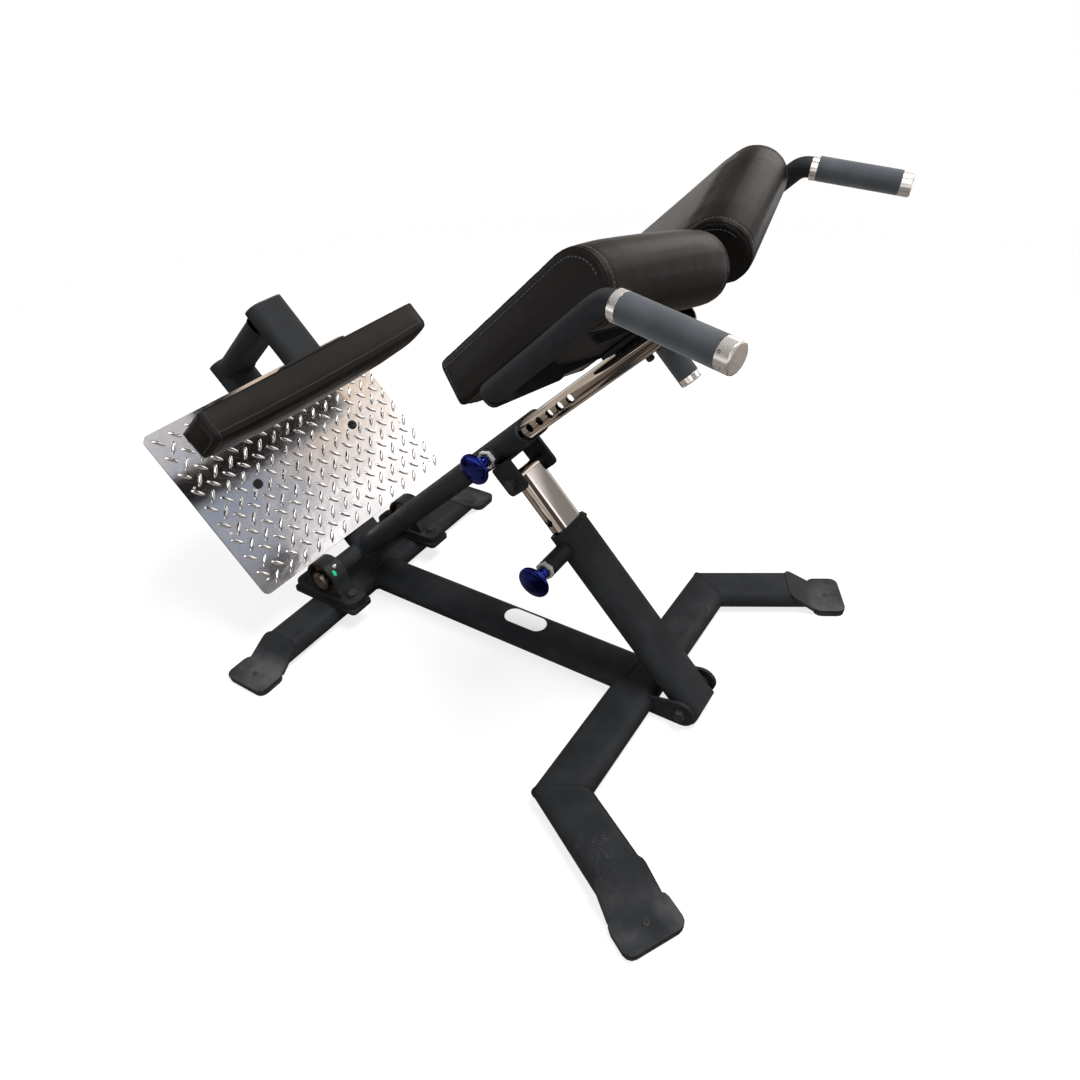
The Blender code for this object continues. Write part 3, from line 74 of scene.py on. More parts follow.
# Hip pads: tilt, length, the level of their boards and the a up to which they lie on them
PAD_TILT = math.radians(14.2)
PAD_LENGTH = 0.229
HIP_BOARD = -0.0497
HIP_NOSE = 0.926
# Calf pad: half its length, its middle along the beam, its face and its depth square to the beam
CALF_HALF = 0.263
CALF_MIDDLE = 0.2115
CALF_FACE = 0.2785
CALF_WIDTH, CALF_DEPTH = 0.0855, 0.045
# Covers: how far leather wraps round a board, and the welt and stitch row in from each end
BOARD_COVER = 0.0110
WELT_INSET = 0.0045
ROW_INSET = 0.0118
STITCH_PITCH = 0.0050
BEARING_X = 0.120


# Shape tools

def beam_point(x, n, a):
    """Point of the tilting frame from its distances across, square to and along the beam."""
    return PIVOT + X * x + SQUARE * n + ALONG * a


def strut_point(x, w, u):
    """Point of the strut from its distances across, square to and up the strut."""
    return STRUT_FOOT + X * x + STRUT_FRONT * w + STRUT_UP * u


def facing(origin, z, x=None):
    """Matrix at origin whose z points along z, and x as near as it can to x."""
    z = Vector(z).normalized()
    guide = Vector(x) if x is not None else (UP if abs(z.z) < 0.9 else X)
    y = z.cross(guide).normalized()
    side = y.cross(z).normalized()
    matrix = Matrix((side, y, z)).transposed().to_4x4()
    matrix.translation = Vector(origin)
    return matrix


def made(name, bm, material, body, smooth=40):
    """Closes a bmesh into a named piece with its finish, riding on its body."""
    bmesh.ops.remove_doubles(bm, verts=bm.verts[:], dist=0.000005)
    bmesh.ops.recalc_face_normals(bm, faces=bm.faces[:])
    mesh = bpy.data.meshes.new(name)
    bm.to_mesh(mesh)
    bm.free()
    return placed(name, mesh, material, body, smooth)


def placed(name, mesh, material, body, smooth=40):
    """Makes a mesh a named piece; smooth is the angle in degrees past which its edges stay sharp."""
    mesh.name = name
    mesh.materials.clear()
    mesh.materials.append(material)
    mesh.shade_smooth()
    if smooth:
        mesh.set_sharp_from_angle(angle=math.radians(smooth))
    piece = bpy.data.objects.new(name, mesh)
    bpy.context.scene.collection.objects.link(piece)
    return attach(piece, body)


def spun(bm, profile, place, steps=48):
    """Turns a profile of (radius, height) about the z of place; faces already there are tagged and stay."""
    verts = [bm.verts.new((r, 0, z)) for r, z in profile]
    edges = [bm.edges.new(pair) for pair in zip(verts, verts[1:])]
    if profile[0][0] > 0 and profile[-1][0] > 0:
        edges.append(bm.edges.new((verts[-1], verts[0])))
    bmesh.ops.spin(bm, geom=verts + edges, axis=(0, 0, 1), cent=(0, 0, 0), angle=2 * math.pi,
                   steps=steps, use_merge=True)
    fresh = {v for face in bm.faces if not face.tag for v in face.verts}
    bmesh.ops.transform(bm, matrix=place, verts=list(fresh))
    for face in bm.faces:
        face.tag = True


def lens_stamp(u_segments, v_segments):
    """Small lens-shaped mesh, 1 m in radius along x, y and z, with its poles on x."""
    bm = bmesh.new()
    bmesh.ops.create_uvsphere(bm, u_segments=u_segments, v_segments=v_segments, radius=1.0,
                              matrix=Matrix.Rotation(math.pi / 2, 4, "Y"))
    mesh = bpy.data.meshes.new("stamp")
    bm.to_mesh(mesh)
    bm.free()
    return mesh


def stamped(bm, stamp, place):
    """Adds a copy of a small mesh at a place."""
    copy = stamp.copy()
    copy.transform(place)
    bm.from_mesh(copy)
    bpy.data.meshes.remove(copy)


def button_head(bm, place, radius, height, socket):
    """Round screw head with a hexagon socket; its underside is at the z = 0 of place."""
    crown, sunk = 0.62, 0.75
    rounding = ((1.42, 0.18), (1.10, 0.30), (1.03, 0.52))
    rim = bmesh.ops.create_circle(bm, segments=24, radius=radius * crown)["verts"]
    mouth = bmesh.ops.create_circle(bm, segments=6, radius=socket)["verts"]
    rim_edges = list({e for v in rim for e in v.link_edges})
    mouth_edges = list({e for v in mouth for e in v.link_edges})
    bmesh.ops.translate(bm, verts=rim + mouth, vec=(0, 0, height))
    bmesh.ops.bridge_loops(bm, edges=rim_edges + mouth_edges)
    grown = list(rim) + list(mouth)
    for grow, drop in rounding:
        step = bmesh.ops.extrude_edge_only(bm, edges=rim_edges)["geom"]
        rim = [item for item in step if isinstance(item, bmesh.types.BMVert)]
        rim_edges = [item for item in step if isinstance(item, bmesh.types.BMEdge)]
        bmesh.ops.scale(bm, verts=rim, vec=(grow, grow, 1))
        bmesh.ops.translate(bm, verts=rim, vec=(0, 0, -height * drop))
        grown += rim
    step = bmesh.ops.extrude_edge_only(bm, edges=mouth_edges)["geom"]
    floor = [item for item in step if isinstance(item, bmesh.types.BMVert)]
    bmesh.ops.translate(bm, verts=floor, vec=(0, 0, -height * sunk))
    floor_edges = [item for item in step if isinstance(item, bmesh.types.BMEdge)]
    bmesh.ops.contextual_create(bm, geom=floor_edges)
    bmesh.ops.contextual_create(bm, geom=rim_edges)
    bmesh.ops.transform(bm, matrix=place, verts=list(set(grown + floor)))


def bead(name, path, radius, material, body, closed=True, ripple=0.14):
    """Weld bead or welt along a path of points, as a round cord whose thickness ripples a little."""
    curve = bpy.data.curves.new(name, "CURVE")
    curve.dimensions = "3D"
    curve.bevel_depth = radius
    curve.bevel_resolution = 2
    curve.use_fill_caps = True
    spline = curve.splines.new("POLY")
    spline.points.add(len(path) - 1)
    spline.use_cyclic_u = closed
    for k, (point, spot) in enumerate(zip(spline.points, path)):
        point.co = (*spot, 1)
        point.radius = 1 + ripple * math.sin(k * 2.1)
    holder = bpy.data.objects.new(name, curve)
    mesh = bpy.data.meshes.new_from_object(holder)
    bpy.data.objects.remove(holder)
    bm = bmesh.new()
    bm.from_mesh(mesh)
    return made(name, bm, material, body, 60)


def resampled(path, pitch, closed=True):
    """Points at an even pitch along a path, with the direction of travel at each."""
    loop = list(path) + ([path[0]] if closed else [])
    lengths = [0.0]
    for here, ahead in zip(loop, loop[1:]):
        lengths.append(lengths[-1] + (ahead - here).length)
    count = max(2, round(lengths[-1] / pitch))
    out, k = [], 0
    for j in range(count):
        want = lengths[-1] * j / count
        while lengths[k + 1] < want:
            k += 1
        span = max(lengths[k + 1] - lengths[k], 1e-9)
        out.append((loop[k].lerp(loop[k + 1], (want - lengths[k]) / span),
                    (loop[k + 1] - loop[k]).normalized()))
    return out


def evened(path, pitch, closed=True):
    """The same path with points at an even pitch."""
    return [point for point, _ in resampled(path, pitch, closed)]


def oval_path(width, height, steps=48):
    """Flat-oval outline as (x, y) points."""
    r = height / 2
    half = width / 2 - r
    points = []
    for k in range(steps):
        t = 2 * math.pi * (k + 0.5) / steps
        points.append((math.copysign(half, math.cos(t)) + r * math.cos(t), r * math.sin(t)))
    return points


STAMPS = {"stitch": lens_stamp(6, 4), "lug": lens_stamp(8, 6)}


# Shader tools

def node(tree, kind, inputs=None, **settings):
    made_node = tree.nodes.new(kind)
    for key, value in settings.items():
        setattr(made_node, key, value)
    for key, value in (inputs or {}).items():
        if isinstance(value, bpy.types.NodeSocket):
            tree.links.new(value, made_node.inputs[key])
        else:
            made_node.inputs[key].default_value = value
    return made_node


def shader_group(name, inputs, outputs):
    """Empty shader node group with named number or vector inputs and outputs."""
    tree = bpy.data.node_groups.new(name, "ShaderNodeTree")
    for label, default in inputs:
        kind = "NodeSocketVector" if default is None else "NodeSocketFloat"
        socket = tree.interface.new_socket(name=label, in_out="INPUT", socket_type=kind)
        if default is not None:
            socket.default_value = default
    for label in outputs:
        tree.interface.new_socket(name=label, in_out="OUTPUT", socket_type="NodeSocketFloat")
    return tree, tree.nodes.new("NodeGroupInput").outputs, tree.nodes.new("NodeGroupOutput").inputs


def math_node(tree, operation, first, second=0.0, clamp=False):
    both = {0: first, 1: second}
    return node(tree, "ShaderNodeMath", both, operation=operation, use_clamp=clamp).outputs[0]


def ramp(tree, value, low, high):
    """Smooth step of a value from 0 at low to 1 at high."""
    return node(tree, "ShaderNodeMapRange", {"Value": value, "From Min": low, "From Max": high},
                interpolation_type="SMOOTHSTEP").outputs["Result"]


def peel_group():
    """Powder coat skin: a fine orange peel with a coarser swell under it."""
    tree, given, out = shader_group("coat_peel", [("Position", None), ("Scale", 900.0)], ["Height", "Patch"])
    fine = node(tree, "ShaderNodeTexNoise", {"Vector": given["Position"], "Scale": given["Scale"],
                                             "Detail": 2.0})
    wide = math_node(tree, "MULTIPLY", given["Scale"], 0.02)
    swell = node(tree, "ShaderNodeTexNoise", {"Vector": given["Position"], "Scale": wide, "Detail": 3.0})
    tree.links.new(fine.outputs["Fac"], out["Height"])
    tree.links.new(ramp(tree, swell.outputs["Fac"], 0.35, 0.7), out["Patch"])
    return tree


def scuff_group():
    """Hairline scuffs: thin lines of a stretched noise, broken up by a wide one."""
    tree, given, out = shader_group("scuffs", [("Position", None), ("Scale", 60.0), ("Width", 0.02)],
                                    ["Mask"])
    lines = node(tree, "ShaderNodeTexNoise", {"Vector": given["Position"], "Scale": given["Scale"],
                                              "Detail": 3.0, "Distortion": 1.2})
    away = math_node(tree, "ABSOLUTE", math_node(tree, "SUBTRACT", lines.outputs["Fac"], 0.5))
    line = math_node(tree, "SUBTRACT", 1.0, ramp(tree, away, 0.0, given["Width"]))
    wide = math_node(tree, "MULTIPLY", given["Scale"], 0.15)
    where = node(tree, "ShaderNodeTexNoise", {"Vector": given["Position"], "Scale": wide, "Detail": 1.0})
    patch = ramp(tree, where.outputs["Fac"], 0.56, 0.68)
    tree.links.new(math_node(tree, "MULTIPLY", line, patch), out["Mask"])
    return tree


def dust_group():
    """Settled dust: it lies on faces that look up, in a patchy way."""
    tree, given, out = shader_group("dust", [("Position", None), ("Amount", 0.2)], ["Mask"])
    normal = node(tree, "ShaderNodeNewGeometry").outputs["Normal"]
    height = node(tree, "ShaderNodeSeparateXYZ", {0: normal}).outputs["Z"]
    patches = node(tree, "ShaderNodeTexNoise", {"Vector": given["Position"], "Scale": 14.0, "Detail": 5.0})
    top = ramp(tree, height, 0.3, 1.0)
    lying = math_node(tree, "MULTIPLY", top, ramp(tree, patches.outputs["Fac"], 0.35, 0.75))
    tree.links.new(math_node(tree, "MULTIPLY", lying, given["Amount"]), out["Mask"])
    return tree


def leather_group():
    """Coated leather: pebbles parted by creases, and a wide mottle."""
    tree, given, out = shader_group("leather_grain", [("Position", None), ("Scale", 700.0)],
                                    ["Height", "Crease", "Mottle"])
    cells = node(tree, "ShaderNodeTexVoronoi", {"Vector": given["Position"], "Scale": given["Scale"],
                                                "Randomness": 0.9}, feature="DISTANCE_TO_EDGE")
    crease = math_node(tree, "SUBTRACT", 1.0, ramp(tree, cells.outputs["Distance"], 0.0, 0.22))
    fine = node(tree, "ShaderNodeTexNoise", {"Vector": given["Position"],
                                             "Scale": math_node(tree, "MULTIPLY", given["Scale"], 3.0)})
    pebble = math_node(tree, "SUBTRACT", math_node(tree, "MULTIPLY", fine.outputs["Fac"], 0.3), crease)
    wide = node(tree, "ShaderNodeTexNoise", {"Vector": given["Position"], "Scale": 9.0, "Detail": 4.0})
    tree.links.new(pebble, out["Height"])
    tree.links.new(crease, out["Crease"])
    tree.links.new(ramp(tree, wide.outputs["Fac"], 0.3, 0.7), out["Mottle"])
    return tree


GROUPS = {}


def effect(tree, name, **values):
    """Places one of the shared groups in a material."""
    build = {"peel": peel_group, "scuffs": scuff_group, "dust": dust_group, "leather": leather_group}[name]
    if name not in GROUPS:
        GROUPS[name] = build()
    used = tree.nodes.new("ShaderNodeGroup")
    used.node_tree = GROUPS[name]
    for key, value in values.items():
        if isinstance(value, bpy.types.NodeSocket):
            tree.links.new(value, used.inputs[key])
        else:
            used.inputs[key].default_value = value
    return used.outputs


def blank(name, **values):
    """Material with one Principled shader; gives the tree, the shader and the object's own position."""
    material = bpy.data.materials.new(name)
    material.use_nodes = True
    tree = material.node_tree
    shader = tree.nodes["Principled BSDF"]
    for key, value in values.items():
        label = key.replace("_", " ")
        shader.inputs[label].default_value = (*value, 1.0) if isinstance(value, tuple) else value
    position = tree.nodes.new("ShaderNodeTexCoord").outputs["Object"]
    return material, tree, shader, position


def mixed(tree, mask, first, second):
    """Colour between two colours by a mask."""
    mix = tree.nodes.new("ShaderNodeMix")
    mix.data_type = "RGBA"
    colours = [s for s in mix.inputs if s.type == "RGBA"]
    tree.links.new(mask, mix.inputs[0])
    for socket, colour in zip(colours, (first, second)):
        if isinstance(colour, bpy.types.NodeSocket):
            tree.links.new(colour, socket)
        else:
            socket.default_value = (*colour, 1.0)
    return next(s for s in mix.outputs if s.type == "RGBA")


def between(tree, mask, low, high):
    return node(tree, "ShaderNodeMapRange", {"Value": mask, "To Min": low, "To Max": high}).outputs["Result"]


def bumped(tree, shader, height, distance, strength=1.0, under=None):
    inputs = {"Height": height, "Distance": distance, "Strength": strength}
    if under is not None:
        inputs["Normal"] = under
    bump = node(tree, "ShaderNodeBump", inputs)
    tree.links.new(bump.outputs["Normal"], shader.inputs["Normal"])
    return bump.outputs["Normal"]


# Finishes

def powder_coat():
    """Black powder coat, with more dust on what lies low."""
    material, tree, shader, position = blank("black_powder_coat", Specular_IOR_Level=0.14)
    peel = effect(tree, "peel", Position=position, Scale=1100.0)
    scuffs = effect(tree, "scuffs", Position=position, Scale=45.0, Width=0.012)
    height = node(tree, "ShaderNodeSeparateXYZ", {0: position}).outputs["Z"]
    low = math_node(tree, "SUBTRACT", 1.0, ramp(tree, height, 0.012, 0.034))
    dust = effect(tree, "dust", Position=position,
                  Amount=math_node(tree, "ADD", 0.02, math_node(tree, "MULTIPLY", low, 0.19)))
    coat = mixed(tree, peel["Patch"], (0.0084, 0.0092, 0.0104), (0.0116, 0.0126, 0.0140))
    coat = mixed(tree, scuffs["Mask"], coat, (0.026, 0.027, 0.028))
    coat = mixed(tree, dust["Mask"], coat, (0.16, 0.16, 0.165))
    tree.links.new(coat, shader.inputs["Base Color"])
    tree.links.new(between(tree, peel["Patch"], 0.50, 0.62), shader.inputs["Roughness"])
    bumped(tree, shader, peel["Height"], 0.00012)
    return material


def casting():
    """Black enamel on sand-cast iron: glossier than the tubes, over a coarse skin."""
    material, tree, shader, position = blank("cast_iron", Specular_IOR_Level=0.35)
    peel = effect(tree, "peel", Position=position, Scale=420.0)
    dust = effect(tree, "dust", Position=position, Amount=0.08)
    coat = mixed(tree, peel["Patch"], (0.006, 0.0075, 0.0075), (0.010, 0.012, 0.0115))
    tree.links.new(mixed(tree, dust["Mask"], coat, (0.12, 0.12, 0.11)), shader.inputs["Base Color"])
    tree.links.new(between(tree, peel["Patch"], 0.26, 0.44), shader.inputs["Roughness"])
    bumped(tree, shader, peel["Height"], 0.0005)
    return material


def bright_metal(name, colour, rough_low, rough_high, smear=12.0, scuff=0.35, metal=1.0):
    """Plated or polished metal with a faint handling smear and fine scuffs."""
    material, tree, shader, position = blank(name, Metallic=metal)
    smears = node(tree, "ShaderNodeTexNoise", {"Vector": position, "Scale": smear, "Detail": 5.0,
                                               "Distortion": 0.6})
    scuffs = effect(tree, "scuffs", Position=position, Scale=90.0, Width=0.015)
    mask = ramp(tree, smears.outputs["Fac"], 0.35, 0.7)
    dull = tuple(c * 0.86 for c in colour)
    tree.links.new(mixed(tree, mask, colour, dull), shader.inputs["Base Color"])
    base = between(tree, mask, rough_low, rough_high)
    marks = math_node(tree, "MULTIPLY", scuffs["Mask"], scuff)
    tree.links.new(math_node(tree, "ADD", base, marks, clamp=True), shader.inputs["Roughness"])
    bumped(tree, shader, smears.outputs["Fac"], 0.0004, 0.25)
    return material


def tread_metal():
    """Bright rolled tread plate: mill lines, a slow waviness and dull smudges."""
    material, tree, shader, position = blank("tread_plate", Metallic=1.0)
    drawn = node(tree, "ShaderNodeMapping", {"Vector": position, "Scale": (30.0, 900.0, 900.0)})
    lines = node(tree, "ShaderNodeTexNoise", {"Vector": drawn.outputs["Vector"], "Scale": 1.0, "Detail": 3.0})
    wave = node(tree, "ShaderNodeTexNoise", {"Vector": position, "Scale": 26.0, "Detail": 2.0})
    smudge = node(tree, "ShaderNodeTexNoise", {"Vector": position, "Scale": 11.0, "Detail": 6.0,
                                               "Distortion": 0.8})
    mask = ramp(tree, smudge.outputs["Fac"], 0.38, 0.68)
    tree.links.new(mixed(tree, mask, (0.90, 0.90, 0.91), (0.80, 0.80, 0.815)), shader.inputs["Base Color"])
    rough = math_node(tree, "ADD", between(tree, mask, 0.09, 0.15),
                      math_node(tree, "MULTIPLY", lines.outputs["Fac"], 0.07))
    tree.links.new(rough, shader.inputs["Roughness"])
    waved = node(tree, "ShaderNodeBump", {"Height": wave.outputs["Fac"], "Distance": 0.0010,
                                          "Strength": 0.45})
    bumped(tree, shader, lines.outputs["Fac"], 0.00005, 0.5, waved.outputs["Normal"])
    return material


def leather():
    """Black-brown coated leather with a soft sheen and slow unevenness."""
    material, tree, shader, position = blank("leather", Specular_IOR_Level=0.18)
    grain = effect(tree, "leather", Position=position, Scale=620.0)
    dust = effect(tree, "dust", Position=position, Amount=0.015)
    hide = mixed(tree, grain["Mottle"], (0.0032, 0.0029, 0.0027), (0.0054, 0.0046, 0.0041))
    hide = mixed(tree, grain["Crease"], hide, (0.0048, 0.0042, 0.0040))
    hide = mixed(tree, dust["Mask"], hide, (0.14, 0.12, 0.10))
    tree.links.new(hide, shader.inputs["Base Color"])
    tree.links.new(between(tree, grain["Mottle"], 0.31, 0.38), shader.inputs["Roughness"])
    slow = node(tree, "ShaderNodeTexNoise", {"Vector": position, "Scale": 22.0, "Detail": 2.0})
    soft = node(tree, "ShaderNodeBump", {"Height": slow.outputs["Fac"], "Distance": 0.0016, "Strength": 0.30})
    bumped(tree, shader, grain["Height"], 0.00011, 0.6, soft.outputs["Normal"])
    return material


def thread():
    """Bonded black thread: a fine twist across each stitch."""
    material, tree, shader, position = blank("thread", Roughness=0.55, Sheen_Weight=0.2)
    twist = node(tree, "ShaderNodeTexNoise", {"Vector": position, "Scale": 2500.0, "Detail": 1.0})
    tree.links.new(mixed(tree, twist.outputs["Fac"], (0.014, 0.014, 0.015), (0.038, 0.038, 0.040)),
                   shader.inputs["Base Color"])
    bumped(tree, shader, twist.outputs["Fac"], 0.0001)
    return material


def grip_foam():
    """Closed-cell foam sleeve: matt, with open pores that are painted darker as painted shade."""
    material, tree, shader, position = blank("grip_foam", Roughness=0.88, Sheen_Weight=0.15)
    pores = node(tree, "ShaderNodeTexVoronoi", {"Vector": position, "Scale": 1300.0})
    wear = node(tree, "ShaderNodeTexNoise", {"Vector": position, "Scale": 24.0, "Detail": 4.0})
    worn = ramp(tree, wear.outputs["Fac"], 0.35, 0.7)
    foam = mixed(tree, worn, (0.021, 0.024, 0.028), (0.030, 0.034, 0.039))
    pore_dips_and_shade = ramp(tree, pores.outputs["Distance"], 0.0, 0.5)
    # Painted shade: each pore is painted darker towards its middle; the same mask dents the bump.
    tree.links.new(mixed(tree, pore_dips_and_shade, (0.012, 0.014, 0.016), foam), shader.inputs["Base Color"])
    bumped(tree, shader, pore_dips_and_shade, 0.0002, 0.8)
    return material


def moulded(name, dark, light, rough, grain=1400.0, depth=0.0001, dust_amount=0.10):
    """Rubber or plastic with a moulded grain and some dust."""
    material, tree, shader, position = blank(name, Specular_IOR_Level=0.30)
    peel = effect(tree, "peel", Position=position, Scale=grain)
    dust = effect(tree, "dust", Position=position, Amount=dust_amount)
    body = mixed(tree, peel["Patch"], dark, light)
    tree.links.new(mixed(tree, dust["Mask"], body, (0.20, 0.19, 0.17)), shader.inputs["Base Color"])
    tree.links.new(between(tree, peel["Patch"], rough, rough + 0.12), shader.inputs["Roughness"])
    bumped(tree, shader, peel["Height"], depth)
    return material


def anodised():
    """Blue anodised aluminium under a thin clear gloss."""
    material, tree, shader, position = blank("blue_anodised", Metallic=1.0, Coat_Weight=0.2,
                                             Coat_Roughness=0.06)
    scuffs = effect(tree, "scuffs", Position=position, Scale=150.0, Width=0.02)
    tone = node(tree, "ShaderNodeTexNoise", {"Vector": position, "Scale": 60.0, "Detail": 3.0})
    dye = mixed(tree, ramp(tree, tone.outputs["Fac"], 0.3, 0.7), (0.010, 0.022, 0.24), (0.016, 0.034, 0.33))
    tree.links.new(mixed(tree, scuffs["Mask"], dye, (0.06, 0.09, 0.42)), shader.inputs["Base Color"])
    tree.links.new(between(tree, scuffs["Mask"], 0.13, 0.40), shader.inputs["Roughness"])
    return material


def plywood():
    """Plywood with its grain along x."""
    material, tree, shader, position = blank("plywood", Roughness=0.7)
    drawn = node(tree, "ShaderNodeMapping", {"Vector": position, "Scale": (8.0, 90.0, 90.0)})
    grain = node(tree, "ShaderNodeTexNoise", {"Vector": drawn.outputs["Vector"], "Scale": 2.0, "Detail": 6.0})
    tree.links.new(mixed(tree, grain.outputs["Fac"], (0.30, 0.19, 0.10), (0.52, 0.37, 0.21)),
                   shader.inputs["Base Color"])
    bumped(tree, shader, grain.outputs["Fac"], 0.0003, 0.5)
    return material


def label_film():
    """White label film, a little yellowed and creased."""
    material, tree, shader, position = blank("label_film", Roughness=0.35)
    tone = node(tree, "ShaderNodeTexNoise", {"Vector": position, "Scale": 60.0, "Detail": 4.0})
    tree.links.new(mixed(tree, tone.outputs["Fac"], (0.95, 0.95, 0.94), (0.88, 0.88, 0.87)),
                   shader.inputs["Base Color"])
    bumped(tree, shader, tone.outputs["Fac"], 0.0002, 0.3)
    return material


def marking_paint():
    """Dab of green inspection paint."""
    material, tree, shader, position = blank("marking_paint", Roughness=0.4)
    tone = node(tree, "ShaderNodeTexNoise", {"Vector": position, "Scale": 300.0, "Detail": 2.0})
    tree.links.new(mixed(tree, tone.outputs["Fac"], (0.0, 0.42, 0.16), (0.01, 0.62, 0.28)),
                   shader.inputs["Base Color"])
    bumped(tree, shader, tone.outputs["Fac"], 0.0004, 0.6)
    return material


def finishes():
    return {
        "black_powder_coat": powder_coat(),
        "rubber": moulded("rubber", (0.012, 0.012, 0.012), (0.020, 0.019, 0.018), 0.62, 1500.0, 0.00012,
                          0.16),
        "cast_iron": casting(),
        "zinc": bright_metal("zinc", (0.84, 0.83, 0.82), 0.20, 0.34, metal=0.8),
        "black_oxide": moulded("black_oxide", (0.010, 0.010, 0.011), (0.018, 0.018, 0.019), 0.30, 2000.0,
                               0.00004, 0.06),
        "black_plastic": moulded("black_plastic", (0.014, 0.014, 0.015), (0.022, 0.022, 0.023), 0.42),
        "plywood": plywood(),
        "leather": leather(),
        "tread_plate": tread_metal(),
        "aluminium": bright_metal("aluminium", (0.90, 0.87, 0.84), 0.16, 0.28, 18.0, metal=0.85),
        "grip_foam": grip_foam(),
        "blue_anodised": anodised(),
        "chrome": bright_metal("chrome", (0.78, 0.74, 0.70), 0.06, 0.14, 9.0, 0.2),
        "oiled_steel": bright_metal("oiled_steel", (0.42, 0.39, 0.36), 0.22, 0.38),
    }


# CAD nodes that stay

SHARP_EDGE = math.radians(38)


def edge_smoothing():
    """Modifier group that shades faces smooth and keeps edges past SHARP_EDGE sharp."""
    tree = bpy.data.node_groups.new("smooth_by_edge", "GeometryNodeTree")
    tree.interface.new_socket(name="Geometry", in_out="INPUT", socket_type="NodeSocketGeometry")
    tree.interface.new_socket(name="Geometry", in_out="OUTPUT", socket_type="NodeSocketGeometry")
    given = tree.nodes.new("NodeGroupInput").outputs["Geometry"]
    out = tree.nodes.new("NodeGroupOutput").inputs["Geometry"]
    angle = node(tree, "GeometryNodeInputMeshEdgeAngle").outputs["Unsigned Angle"]
    sharp = node(tree, "FunctionNodeCompare", {0: angle, 1: SHARP_EDGE}, operation="GREATER_THAN",
                 data_type="FLOAT").outputs[0]
    faces = node(tree, "GeometryNodeSetShadeSmooth", {"Geometry": given, "Shade Smooth": True}, domain="FACE")
    edges = node(tree, "GeometryNodeSetShadeSmooth", {"Geometry": faces.outputs[0], "Selection": sharp,
                                                      "Shade Smooth": False}, domain="EDGE")
    tree.links.new(edges.outputs[0], out)
    return tree


def dress(piece, material, edge, group):
    """Finish and eased edges for a CAD node."""
    if not piece.data.materials:
        piece.data.materials.append(material)
    for held in piece.material_slots:
        held.material = material
    weld = piece.modifiers.new("weld", "WELD")
    weld.merge_threshold = 0.00002
    flat = piece.modifiers.new("flat_faces", "DECIMATE")
    flat.decimate_type = "DISSOLVE"
    flat.angle_limit = math.radians(0.4)
    if edge:
        ease = piece.modifiers.new("eased_edges", "BEVEL")
        ease.width = edge
        ease.segments = 2
        ease.limit_method = "ANGLE"
        ease.angle_limit = SHARP_EDGE
        ease.use_clamp_overlap = True
    smooth = piece.modifiers.new("smooth", "NODES")
    smooth.node_group = group
    fair = piece.modifiers.new("fair_normals", "WEIGHTED_NORMAL")
    fair.keep_sharp = True


# Width of the eased edges of each slot
EASED = {"black_powder_coat": 0.0009, "rubber": 0.0012, "cast_iron": 0.0010, "zinc": 0.0003,
         "black_oxide": 0.0006, "black_plastic": 0.0008, "plywood": 0.0010, "tread_plate": 0.0005,
         "aluminium": 0.0005, "grip_foam": 0.0007, "blue_anodised": 0.0004, "chrome": 0.0003, "leather": 0}

# Nodes whose zinc is dull with oil
DARKER = {name: "oiled_steel" for name in ("pivot_shaft", "bearing_race_left", "bearing_race_right")}


def dress_nodes(finish):
    group = edge_smoothing()
    for part in frame["record"]["subparts"]:
        name, slot = part["node"], part["material_slot"]
        dress(frame["nodes"][name], finish[DARKER.get(name, slot)], EASED[slot], group)


# Cushions

def cushion_form(node_name, slack, local, board, rise, front):
    """Copy of a pad's CAD form, drawn in by the slack and carried round the edge of its board."""
    sign, level = board
    near_board, carried = 0.0078, 0.0165
    bm = bmesh.new()
    bm.from_mesh(frame["nodes"][node_name].data)
    bmesh.ops.remove_doubles(bm, verts=bm.verts[:], dist=0.00002)
    bmesh.ops.recalc_face_normals(bm, faces=bm.faces[:])
    outward = [vert.normal.copy() for vert in bm.verts]
    for vert, normal in zip(bm.verts, outward):
        s, t, m = local(vert.co)
        past = sign * (m - level)
        if past > -near_board and t < front:
            reach = min(past + carried, BOARD_COVER) - past
            vert.co += rise * (sign * reach) - (normal - rise * normal.dot(rise)) * slack
        else:
            vert.co -= normal * slack
    mesh = bpy.data.meshes.new(node_name + "_form")
    bm.to_mesh(mesh)
    bm.free()
    return mesh


def work_object(mesh):
    """Object for a mesh while modifiers work on it."""
    holder = bpy.data.objects.new("cushion_work", mesh)
    bpy.context.scene.collection.objects.link(holder)
    return holder


def taken_from(holder):
    """Mesh as an object's modifiers leave it; the object goes."""
    out = bpy.data.meshes.new_from_object(holder.evaluated_get(bpy.context.evaluated_depsgraph_get()))
    bpy.data.objects.remove(holder)
    return out


def remeshed(mesh, voxel):
    holder = work_object(mesh)
    remesh = holder.modifiers.new("remesh", "REMESH")
    remesh.mode = "VOXEL"
    remesh.voxel_size = voxel
    return taken_from(holder)


